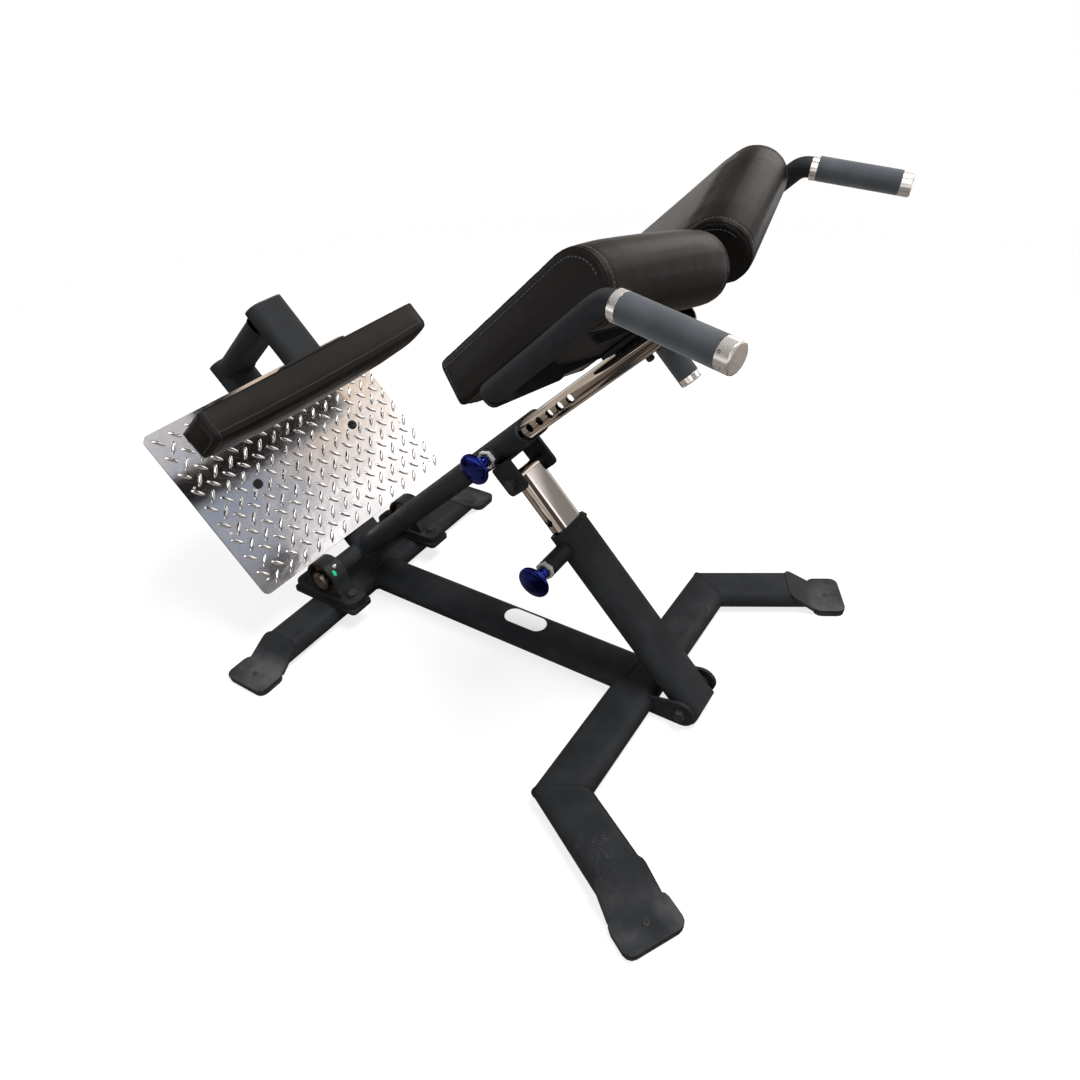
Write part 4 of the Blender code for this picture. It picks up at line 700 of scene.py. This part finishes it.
def blown_up(mesh, held, caps):
    """Swells a cushion by cloth pressure, evened out; held points stay, and each swell has its cap."""
    holder = work_object(mesh)
    board = holder.vertex_groups.new(name="board")
    board.add([k for k, on in enumerate(held) if on], 1.0, "REPLACE")
    cloth = holder.modifiers.new("cloth", "CLOTH")
    cloth.settings.use_pressure = True
    cloth.settings.uniform_pressure_force = 4.0
    cloth.settings.effector_weights.gravity = 0.0
    cloth.settings.vertex_group_mass = "board"
    cloth.settings.tension_stiffness = 25.0
    cloth.settings.compression_stiffness = 25.0
    cloth.settings.bending_stiffness = 2.0
    cloth.settings.quality = 6
    cloth.collision_settings.use_self_collision = False
    scene = bpy.context.scene
    for tick in range(1, 21):
        scene.frame_set(tick)
    blown = holder.evaluated_get(bpy.context.evaluated_depsgraph_get()).to_mesh()
    outward = [vert.normal.copy() for vert in mesh.vertices]
    swell = [(after.co - before.co).dot(normal)
             for after, before, normal in zip(blown.vertices, mesh.vertices, outward)]
    scene.frame_set(1)
    bpy.data.objects.remove(holder)
    swell = [0.0 if on else min(cap, max(0.0, step)) for on, step, cap in zip(held, swell, caps)]
    for turn in range(8):
        total, count = list(swell), [1] * len(swell)
        for edge in mesh.edges:
            one, two = edge.vertices
            total[one] += swell[two]
            total[two] += swell[one]
            count[one] += 1
            count[two] += 1
        swell = [t / c for t, c in zip(total, count)]
    for vert, normal, step in zip(mesh.vertices, outward, swell):
        vert.co += normal * step
    mesh.update()


def subdivided(mesh):
    holder = work_object(mesh)
    finer = holder.modifiers.new("finer", "SUBSURF")
    finer.levels = finer.render_levels = 1
    return taken_from(holder)


def stuffed(name, node_name, body, finish, local, rise, board, front, caps_at, length, seams):
    """Cushion over its CAD form.

    local gives (s, t, m) of a point: along the pad, along the beam and square to its board.
    rise is the direction of m; board is the sign and level of m where the foam meets its board, and
    front the t up to which it lies on it. caps_at gives how far soft sides and ends may swell.
    """
    sign, level = board
    soft_cap, end_cap = caps_at
    slack, voxel = 0.0010, 0.0036
    held_strip, end_strip, end_rise = 0.003, 0.002, 0.012
    mesh = remeshed(cushion_form(node_name, slack, local, board, rise, front), voxel)
    bm = bmesh.new()
    bm.from_mesh(mesh)
    for turn in range(2):
        bmesh.ops.smooth_vert(bm, verts=bm.verts[:], factor=0.4, use_axis_x=True, use_axis_y=True,
                              use_axis_z=True)
    bm.to_mesh(mesh)
    bm.free()
    spots = [local(vert.co) for vert in mesh.vertices]
    held = [sign * (m - level) > -held_strip for s, t, m in spots]
    caps = []
    for s, t, m in spots:
        inside = max(0.0, min(s, length - s) - end_strip)
        caps.append(end_cap + (soft_cap - end_cap) * min(1.0, inside / end_rise))
    blown_up(mesh, held, caps)
    mesh = subdivided(mesh)
    outward = [vert.normal.copy() for vert in mesh.vertices]
    last = level + sign * BOARD_COVER
    for vert, normal in zip(mesh.vertices, outward):
        s, t, m = local(vert.co)
        depth = sum(deep * math.exp(-((s - seam) / wide) ** 2) for seam, deep, wide in seams)
        vert.co -= normal * depth
        if abs(normal.dot(rise)) > 0.9 and abs(m - last) < 0.0025:
            vert.co += rise * (last - m)
    mesh.update()
    piece = placed(name, mesh, finish["leather"], body, 0)
    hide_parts(node_name)
    return piece


def mirrored(name, node_name, body, finish, other):
    """The same cushion for the other side of the bench."""
    mesh = other.data.copy()
    mesh.transform(Matrix.Diagonal((-1, 1, 1, 1)))
    mesh.flip_normals()
    piece = placed(name, mesh, finish["leather"], body, 0)
    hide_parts(node_name)
    return piece


def edge_seams(length):
    """Seams near both ends as (place, depth, half width): the welt's crease and the stitch row's dip."""
    dips = ((WELT_INSET, 0.0010, 0.0016), (ROW_INSET, 0.0007, 0.0018))
    return [(spot, deep, wide) for inset, deep, wide in dips for spot in (inset, length - inset)]


def cut_loop(mesh, point, normal):
    """Ordered points of the loop where a plane cuts a closed mesh."""
    bm = bmesh.new()
    bm.from_mesh(mesh)
    whole = bm.verts[:] + bm.edges[:] + bm.faces[:]
    cut = bmesh.ops.bisect_plane(bm, geom=whole, plane_co=point, plane_no=normal)
    left = {item for item in cut["geom_cut"] if isinstance(item, bmesh.types.BMEdge)}
    step = next(iter(left))
    here, loop = step.verts[0], []
    while step is not None:
        left.discard(step)
        loop.append(here.co.copy())
        here = step.other_vert(here)
        step = next((edge for edge in here.link_edges if edge in left), None)
    bm.free()
    return loop


def surface(mesh):
    """Search tree of a mesh, for rays and nearest points."""
    bm = bmesh.new()
    bm.from_mesh(mesh)
    tree = BVHTree.FromBMesh(bm)
    bm.free()
    return tree


def stitch_row(bm, path, tree, closed=True, long=0.0018, thick=0.00062):
    """Row of stitches lying on a surface along a path."""
    for spot, travel in resampled(path, STITCH_PITCH, closed):
        near, normal, _, _ = tree.find_nearest(spot)
        if near is None:
            continue
        across = normal.cross(travel).normalized()
        travel = across.cross(normal)
        place = Matrix((travel, across, normal)).transposed().to_4x4()
        place.translation = near + normal * 0.0001
        stamped(bm, STAMPS["stitch"], place @ Matrix.Diagonal((long, thick, thick, 1)))


def open_run(path, keep):
    """The points of a closed path that pass a test, as one run that starts after the gap."""
    kept = [keep(point) for point in path]
    if all(kept) or not any(kept):
        return list(path), all(kept)
    start = next(k for k in range(len(path)) if kept[k] and not kept[k - 1])
    turned = [k % len(path) for k in range(start, start + len(path))]
    return [path[k] for k in turned if kept[k]], False


def drawn_in(path, centre, step):
    """Path moved towards the inside of its own plane by a step."""
    out = []
    for k, here in enumerate(path):
        travel = (path[(k + 3) % len(path)] - path[k - 3]).normalized()
        away = here - centre
        inward = (away - travel * away.dot(travel)).normalized() * -1
        out.append(here + inward * step)
    return out


def end_stitches(bm, edge, out, way, step, keep, tree):
    """Stitch row on a pad's end face, a step inside the edge, where a point passes a test."""
    centre = sum(edge, Vector()) / len(edge)
    face = [point - out * way * 0.006 for point in drawn_in(edge, centre, step)]
    run, whole = open_run(face, keep)
    stitch_row(bm, run, tree, whole)


def hip_cushions(finish):
    """Right hip pad, blown up and sewn, and its mirror image on the left."""
    first = None
    for side, word in ((-1, "right"), (1, "left")):
        body, pad_name = "pad_carriage", "hip_cushion_" + word
        out = (X * side * math.cos(PAD_TILT) + SQUARE * math.sin(PAD_TILT)).normalized()
        up = (SQUARE * math.cos(PAD_TILT) - X * side * math.sin(PAD_TILT)).normalized()
        origin = beam_point(side * 0.0143, 0.0798, 0)

        def local(point, origin=origin, out=out, up=up):
            away = point - origin
            return away.dot(out), away.dot(ALONG), away.dot(up)
        if first is None:
            pad = first = stuffed(pad_name, "hip_pad_" + word, body, finish, local, up, (-1, HIP_BOARD),
                                  HIP_NOSE, (0.0030, 0.0014), PAD_LENGTH, edge_seams(PAD_LENGTH))
        else:
            pad = mirrored(pad_name, "hip_pad_" + word, body, finish, first)
        tree = surface(pad.data)
        bm = bmesh.new()
        for end, way in ((0.0, 1), (PAD_LENGTH, -1)):
            edge = cut_loop(pad.data, origin + out * (end + way * WELT_INSET), out)
            bead("hip_welt_%s_%s" % (word, "in" if way > 0 else "out"), evened(edge, 0.004),
                 0.0015, finish["leather"], body, ripple=0.05)
            stitch_row(bm, cut_loop(pad.data, origin + out * (end + way * ROW_INSET), out), tree)
            end_stitches(bm, edge, out, way, 0.0078, lambda p: local(p)[2] > HIP_BOARD + 0.0037, tree)
        made("hip_stitches_" + word, bm, finish["thread"], body, 60)


def calf_cushion(finish):
    """Calf pad with its end seams and the long welt and stitch row of both sides."""
    body, length, board = "tilt_frame", 2 * CALF_HALF, CALF_FACE + CALF_DEPTH

    def local(point):
        away = point - PIVOT
        return away.dot(X) + CALF_HALF, away.dot(ALONG) - CALF_MIDDLE, away.dot(SQUARE)
    pad = stuffed("calf_cushion", "calf_pad", body, finish, local, SQUARE, (1, board), 1.0,
                  (0.0020, 0.0014), length, edge_seams(length))
    tree = surface(pad.data)
    bm = bmesh.new()
    for end, way in ((-CALF_HALF, 1), (CALF_HALF, -1)):
        edge = cut_loop(pad.data, beam_point(end + way * WELT_INSET, 0, 0), X)
        bead("calf_welt_" + ("right" if way > 0 else "left"), evened(edge, 0.004),
             0.0014, finish["leather"], body, ripple=0.05)
        stitch_row(bm, cut_loop(pad.data, beam_point(end + way * ROW_INSET, 0, 0), X), tree)
        end_stitches(bm, edge, X, way, 0.0072, lambda p: local(p)[2] < board - 0.004, tree)
    shy, steps, row_gap = 0.012, 100, 0.0085
    for side, word in ((-1, "rear"), (1, "front")):
        welt, row = [], []
        for k in range(steps + 1):
            x = (CALF_HALF - shy) * (2 * k / steps - 1)
            start = beam_point(x, CALF_FACE - 0.05, CALF_MIDDLE + side * (CALF_WIDTH / 2 + 0.03))
            hit = tree.ray_cast(start, (SQUARE - ALONG * side * 0.62).normalized())[0]
            if hit is None:
                continue
            welt.append(hit)
            near = tree.ray_cast(hit + SQUARE * row_gap + ALONG * side * 0.05, -ALONG * side)[0]
            if near is not None:
                row.append(near)
        bead("calf_long_welt_" + word, welt, 0.0013, finish["leather"], body, closed=False,
             ripple=0.05)
        stitch_row(bm, row, tree, closed=False)
    made("calf_stitches", bm, finish["thread"], body, 60)


# Foot plate

def clear_of(x, n, spots, gap):
    return all(math.hypot(x - sx, n - sn) >= gap for sx, sn in spots)


def tread_lugs(finish):
    """Raised lens-shaped lugs in two crossing directions, clear of bolts, rivets and edges."""
    across, down = 0.0355, 0.0373
    half_width, height = 0.0041, 0.0026
    bm = bmesh.new()
    for x0, n0, turn, long in ((-0.0025, 0.280, 50, 0.0142), (0.015, 0.2625, -50, 0.0134)):
        way = X * math.cos(math.radians(turn)) + SQUARE * math.sin(math.radians(turn))
        shape = Matrix.Diagonal((long, half_width, height, 1))
        for i in range(-9, 10):
            for j in range(-8, 12):
                x, n = x0 + across * i, n0 - down * j
                inside = abs(x) <= 0.246 and 0.049 < n < 0.387
                if inside and clear_of(x, n, PLATE_BOLTS, 0.0165) and clear_of(x, n, PLATE_RIVETS, 0.009):
                    place = facing(beam_point(x, n, PLATE_FRONT - 0.0002), ALONG, way)
                    stamped(bm, STAMPS["lug"], place @ shape)
    made("plate_lugs", bm, finish["tread_plate"], "tilt_frame", 70)


def plate_rivets(finish):
    bm = bmesh.new()
    dome = [(0.0, 0.0011), (0.0014, 0.0010), (0.0026, 0.0006), (0.0031, -0.0004), (0.0, -0.0004)]
    for x, n in PLATE_RIVETS:
        spun(bm, dome, facing(beam_point(x, n, PLATE_FRONT), ALONG), 16)
    made("plate_rivets", bm, finish["aluminium"], "tilt_frame", 50)


def plate_bolts(finish):
    for (x, n), word in zip(PLATE_BOLTS, ("left", "right")):
        bm = bmesh.new()
        button_head(bm, facing(beam_point(x, n, PLATE_FRONT + 0.0002), ALONG), 0.0098, 0.0044, 0.0034)
        made("plate_bolt_head_" + word, bm, finish["black_oxide"], "tilt_frame", 30)


# Pop pins

def knobs(finish):
    """Mushroom knobs with a domed face, a rounded rim and a ribbed neck; the profile is in millimetres."""
    profile = [(0, 0), (9.7, 0), (10.3, 0.6), (10.3, 10.4), (9.4, 11.4), (8.2, 12.4), (8.0, 15), (8.6, 18.6),
               (11, 21.4), (16, 23.4), (22, 24.8), (25.6, 25.6), (26.7, 26.6), (27.0, 28.0), (26.6, 29.4),
               (25.2, 30.4), (24.0, 30.8), (23.2, 30.7), (22.0, 31.3), (15, 32.9), (7, 33.8), (0, 34)]
    for holder in ("beam_pin", "strut_pin"):
        low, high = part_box(holder + "_knob")
        foot = Vector((high.x, (low.y + high.y) / 2, (low.z + high.z) / 2))
        bm = bmesh.new()
        spun(bm, [(r / 1000, z / 1000) for r, z in profile], facing(foot, -X), 64)
        necks = [f for f in bm.faces if 0.0135 < (foot.x - f.calc_center_median().x) < 0.0175]
        bmesh.ops.inset_individual(bm, faces=necks[::2], thickness=0.0001, depth=0.0005)
        piece = made(holder + "_mushroom", bm, finish["blue_anodised"], holder, 50)
        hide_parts(holder + "_knob")


# Small fasteners

def foot_screws(finish):
    """Countersunk screws through the rubber feet."""
    hole_level = 0.0143
    bm = bmesh.new()
    for foot in ("rear_left", "rear_right", "front_left", "front_right"):
        low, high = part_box("rubber_foot_" + foot)
        centre = (low + high) / 2
        centre.z = hole_level
        button_head(bm, facing(centre, UP), 0.0052, 0.0016, 0.0021)
    made("foot_screws", bm, finish["black_oxide"], "base", 30)


def calf_flange_screws(finish):
    bm = bmesh.new()
    for x in (-0.066, 0.066):
        for a in (-0.018, 0.018):
            spot = beam_point(x, 0.3395, CALF_MIDDLE + a)
            button_head(bm, facing(spot, SQUARE), 0.0056, 0.0030, 0.0021)
    made("calf_flange_screws", bm, finish["black_oxide"], "tilt_frame", 30)


def grip_set_screws(finish):
    """Set screws of the grips' rings and caps, sunk into their surface."""
    bm = bmesh.new()
    for name in ("handle_ring_left", "handle_ring_right", "handle_cap_left", "handle_cap_right"):
        low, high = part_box(name)
        centre = (low + high) / 2
        tree = surface(frame["nodes"][name].data)
        for way in ((0.2, -0.3, -1), (-1, 0.4, 0.6)):
            start = centre + Vector(way).normalized() * 0.05
            hit, normal, _, _ = tree.ray_cast(start, -Vector(way))
            if hit is not None:
                button_head(bm, facing(hit - normal * 0.0012, normal), 0.0022, 0.0013, 0.0011)
    made("grip_set_screws", bm, finish["black_oxide"], "pad_carriage", 30)


def bearing_set_screws(finish):
    """Two set screws in the collar of each bearing's inner ring."""
    collar_x, collar_r = BEARING_X + 0.0165, 0.0195
    bm = bmesh.new()
    for side in (1, -1):
        for turn in (35, 155):
            way = Vector((0, math.cos(math.radians(turn)), math.sin(math.radians(turn))))
            spot = Vector((side * collar_x, PIVOT.y, PIVOT.z)) + way * collar_r
            button_head(bm, facing(spot, way), 0.0026, 0.0009, 0.0015)
    made("bearing_set_screws", bm, finish["black_oxide"], "tilt_frame", 30)


def strut_stop_screw(finish):
    bm = bmesh.new()
    button_head(bm, facing(strut_point(0.0007, 0.0199, 0.3496), STRUT_FRONT), 0.0034, 0.0012, 0.0018)
    made("strut_stop_screw", bm, finish["black_oxide"], "strut_outer", 30)


def grease_nipples(finish):
    profile = [(0, 0), (0.0035, 0), (0.0035, 0.003), (0.0022, 0.0036), (0.0020, 0.0055), (0.0026, 0.0066),
               (0.0022, 0.0078), (0.0008, 0.0084), (0, 0.0084)]
    way = Vector((0, -0.62, 0.78)).normalized()
    bm = bmesh.new()
    for side in (1, -1):
        spot = Vector((side * BEARING_X, PIVOT.y, PIVOT.z)) + way * 0.0375
        spun(bm, profile, facing(spot, way), 18)
    made("grease_nipples", bm, finish["zinc"], "base", 40)


# Welds

def weld(name, path, radius, body, finish):
    bead("weld_" + name, evened(path, 0.0028), radius, finish["black_powder_coat"], body)


def base_welds(finish):
    """Beads round both ends of the spine and in the mitres of the front legs."""
    side_r = TUBE_H / 2
    tube = oval_path(TUBE_W, TUBE_H, 72)
    shift = Vector((0, PIVOT.y, TUBE_MIDDLE))
    front_y = -0.627
    for name, y, way in (("spine_rear", -side_r, -1), ("spine_front", front_y + side_r, 1)):
        path = []
        for x, z in tube:
            reach = math.sqrt(max(0.0, side_r ** 2 - z ** 2))
            path.append(Vector((x, y + way * reach, z)) + shift)
        weld(name, path, 0.0022, "base", finish)
    splay, knee_x = math.radians(28.8), 0.270
    lean = math.tan((math.pi / 2 - splay) / 2)
    for side, word in ((1, "left"), (-1, "right")):
        path = [Vector((side * (knee_x + t * lean), front_y + t, z)) + shift for t, z in tube]
        weld("leg_" + word, path, 0.0011, "base", finish)


def frame_welds(finish):
    """Beads of the tilting frame's tubes, the calf flange and the two pin sleeves."""
    tube = oval_path(TUBE_W, TUBE_H, 72)
    link_n = 0.440
    for name, n, a in (("beam", 0, 0.0205), ("link_heel", link_n, 0.0205), ("link_arm", link_n, 0.191)):
        weld(name, [beam_point(x, n + y, a) for x, y in tube], 0.0020, "tilt_frame", finish)
    flange = [beam_point(x, 0.3290, CALF_MIDDLE + y) for x, y in tube]
    weld("calf_flange", flange, 0.0018, "tilt_frame", finish)
    sleeve_r, side_r = 0.0152, TUBE_H / 2
    ring = [(sleeve_r * math.cos(2 * math.pi * k / 40), sleeve_r * math.sin(2 * math.pi * k / 40))
            for k in range(40)]
    weld("beam_sleeve", [beam_point(-0.0396, x, 0.4976 + y) for x, y in ring], 0.0014, "tilt_frame", finish)
    round_side = [strut_point(-side_r - math.sqrt(max(0.0, side_r ** 2 - x ** 2)), x, 0.333 + y)
                  for x, y in ring]
    weld("strut_sleeve", round_side, 0.0016, "strut_outer", finish)


# Label and paint mark

def spine_label(finish):
    """Blank stadium-shaped label on the spine."""
    radius, straight, film = 0.0185, 0.0255, 0.0003
    bm = bmesh.new()
    outline = bmesh.ops.create_circle(bm, segments=48, radius=radius)["verts"]
    for vert in outline:
        vert.co.y += math.copysign(straight, vert.co.y) if abs(vert.co.y) > 1e-6 else 0
    bmesh.ops.contextual_create(bm, geom=list({e for v in outline for e in v.link_edges}))
    grown = bmesh.ops.extrude_face_region(bm, geom=bm.faces[:], use_keep_orig=True)
    top = [v for v in grown["geom"] if isinstance(v, bmesh.types.BMVert)]
    bmesh.ops.translate(bm, verts=top, vec=(0, 0, film))
    place = Matrix.Translation((0.0055, -0.104, TUBE_TOP + 0.0001))
    bmesh.ops.transform(bm, matrix=place, verts=bm.verts[:])
    made("spine_label", bm, finish["label_film"], "base", 40)


def paint_mark(finish):
    """Dab of green paint on the right bearing."""
    bm = bmesh.new()
    centre = Vector((-0.1385, 0.2275, 0.1305))
    for k in range(5):
        turn = 2 * math.pi * k / 5
        spot = centre + Vector((0, math.cos(turn), math.sin(turn))) * 0.0034
        bmesh.ops.create_icosphere(bm, subdivisions=2, radius=0.0030,
                                   matrix=Matrix.Translation(spot) @ Matrix.Diagonal((0.35, 1, 1, 1)))
    made("paint_mark", bm, finish["marking_paint"], "base", 80)


# Floor, light, camera

def floor():
    """Pale floor that keeps the shadow near the bench and turns plain white further off; near the bench, gloss
    sees it glow as dark wood boards, a painted reflection.
    """
    bm = bmesh.new()
    bmesh.ops.create_grid(bm, x_segments=1, y_segments=1, size=80.0)
    mesh = bpy.data.meshes.new("floor")
    bm.to_mesh(mesh)
    bm.free()
    ground = bpy.data.objects.new("floor", mesh)
    bpy.context.scene.collection.objects.link(ground)
    material = bpy.data.materials.new("floor")
    material.use_nodes = True
    tree = material.node_tree
    tree.nodes.clear()
    spot = node(tree, "ShaderNodeTexCoord").outputs["Object"]
    away = node(tree, "ShaderNodeVectorMath", {0: spot}, operation="LENGTH").outputs["Value"]
    path = node(tree, "ShaderNodeLightPath")
    glossy = path.outputs["Is Glossy Ray"]
    seen = math_node(tree, "MAXIMUM", path.outputs["Is Camera Ray"], path.outputs["Is Transmission Ray"])
    seen = math_node(tree, "MAXIMUM", seen, glossy)
    share = math_node(tree, "MAXIMUM", between(tree, ramp(tree, away, 1.0, 3.2), 0.78, 1.0), glossy)
    # Painted reflection: for gloss only, the floor near the bench glows as streaked dark wood boards.
    ring = math_node(tree, "SUBTRACT", 1.0, ramp(tree, away, 2.4, 3.4))
    boards = node(tree, "ShaderNodeTexNoise", {"Vector": spot, "Scale": 1.7, "Detail": 2.0})
    streaks = ramp(tree, boards.outputs["Fac"], 0.42, 0.60)
    wood = mixed(tree, streaks, (0.036, 0.028, 0.023), (0.27, 0.22, 0.18))
    tone = mixed(tree, math_node(tree, "MULTIPLY", ring, glossy), (1.0, 1.0, 1.0), wood)
    matt = node(tree, "ShaderNodeBsdfDiffuse", {"Color": (0.80, 0.80, 0.80, 1)})
    glow = node(tree, "ShaderNodeEmission", {"Color": tone, "Strength": 1.0})
    mix = node(tree, "ShaderNodeMixShader", {0: math_node(tree, "MULTIPLY", seen, share), 1: matt.outputs[0],
                                             2: glow.outputs[0]})
    out = node(tree, "ShaderNodeOutputMaterial")
    tree.links.new(mix.outputs[0], out.inputs["Surface"])
    mesh.materials.append(material)


def surroundings():
    """White to the camera, a plain soft fill, and for gloss a room of panels under a dark ceiling."""
    world = bpy.data.worlds.new("studio")
    bpy.context.scene.world = world
    world.use_nodes = True
    tree = world.node_tree
    tree.nodes.clear()
    path = node(tree, "ShaderNodeLightPath")
    way = node(tree, "ShaderNodeTexCoord").outputs["Generated"]
    height = node(tree, "ShaderNodeSeparateXYZ", {0: way}).outputs["Z"]

    def towards(direction, low, high):
        turn = node(tree, "ShaderNodeVectorMath", {0: way, 1: Vector(direction).normalized()},
                    operation="DOT_PRODUCT").outputs["Value"]
        return ramp(tree, turn, low, high)

    horizon, ceiling = (0.50, 0.43, 0.37), (0.070, 0.060, 0.053)
    room = mixed(tree, ramp(tree, height, 0.10, 0.34), horizon, ceiling)
    # What the foot plate mirrors: blue and dim on the left, warm on the right, white below
    front = towards((0.56, -0.57, 0.60), 0.86, 0.94)
    warm = towards((0.72, 0.69, 0.0), -0.035, 0.020)
    panel = mixed(tree, ramp(tree, height, 0.690, 0.750), (0.25, 0.28, 0.34), (0.56, 0.58, 0.63))
    panel = mixed(tree, warm, panel, (0.74, 0.57, 0.43))
    panel = mixed(tree, ramp(tree, height, 0.620, 0.575), panel, (1.40, 1.34, 1.32))
    panel = mixed(tree, ramp(tree, height, 0.440, 0.370), panel, (0.27, 0.25, 0.24))
    room = mixed(tree, front, room, panel)
    # Soft boxes overhead, on the left and on the right
    room = mixed(tree, towards((0.10, -0.30, 0.95), 0.950, 0.972), room, (5.0, 4.8, 4.6))
    room = mixed(tree, towards((-0.75, -0.30, 0.58), 0.90, 0.95), room, (1.5, 1.45, 1.40))
    room = mixed(tree, towards((0.92, -0.08, 0.38), 0.93, 0.97), room, (2.0, 1.9, 1.8))
    fill = (0.42, 0.42, 0.43)
    seen = math_node(tree, "MAXIMUM", path.outputs["Is Camera Ray"], path.outputs["Is Transmission Ray"])
    colour = mixed(tree, path.outputs["Is Glossy Ray"], fill, room)
    colour = mixed(tree, seen, colour, (1.0, 1.0, 1.0))
    back = node(tree, "ShaderNodeBackground", {"Color": colour, "Strength": 1.0})
    out = node(tree, "ShaderNodeOutputWorld")
    tree.links.new(back.outputs[0], out.inputs["Surface"])


def lamp(name, spot, target, size, power, colour=(1, 1, 1), tall=None):
    """Area lamp aimed at a target; gloss doesn't show it, because the panels stand in for it."""
    light = bpy.data.lights.new(name, "AREA")
    light.shape = "RECTANGLE"
    light.size = size
    light.size_y = tall or size
    light.energy = power
    light.color = colour
    holder = bpy.data.objects.new(name, light)
    holder.visible_glossy = False
    holder.location = spot
    holder.rotation_euler = (Vector(spot) - Vector(target)).to_track_quat("Z", "Y").to_euler()
    bpy.context.scene.collection.objects.link(holder)


def lights():
    lamp("key", (0.3, -0.9, 2.6), (0, 0, 0.3), 1.6, 165, (1.0, 0.98, 0.95), 1.0)
    lamp("fill_right", (-2.2, 0.2, 1.6), (0, 0, 0.4), 1.4, 26, (0.94, 0.97, 1.0))
    lamp("rear", (0.6, 2.2, 1.8), (0, 0, 0.4), 1.6, 26, (1.0, 0.96, 0.92))


def camera():
    lens = bpy.data.cameras.new("camera")
    lens.sensor_width = 36.0
    lens.lens = 28.0426
    lens.shift_x = -0.000656
    lens.shift_y = -0.045467
    lens.dof.use_dof = False
    holder = bpy.data.objects.new("camera", lens)
    holder.location = (-0.9315, -0.8232, 1.1132)
    holder.rotation_euler = Quaternion((0.767247, 0.427949, -0.202153, -0.432811)).to_euler()
    bpy.context.scene.collection.objects.link(holder)
    bpy.context.scene.camera = holder


def main():
    bpy.context.scene.view_settings.view_transform = "Standard"
    finish = finishes()
    finish["thread"] = thread()
    finish["label_film"] = label_film()
    finish["marking_paint"] = marking_paint()
    dress_nodes(finish)
    hip_cushions(finish)
    calf_cushion(finish)
    tread_lugs(finish)
    plate_rivets(finish)
    plate_bolts(finish)
    knobs(finish)
    foot_screws(finish)
    calf_flange_screws(finish)
    grip_set_screws(finish)
    bearing_set_screws(finish)
    strut_stop_screw(finish)
    grease_nipples(finish)
    base_welds(finish)
    frame_welds(finish)
    spine_label(finish)
    paint_mark(finish)
    floor()
    surroundings()
    lights()
    camera()


main()
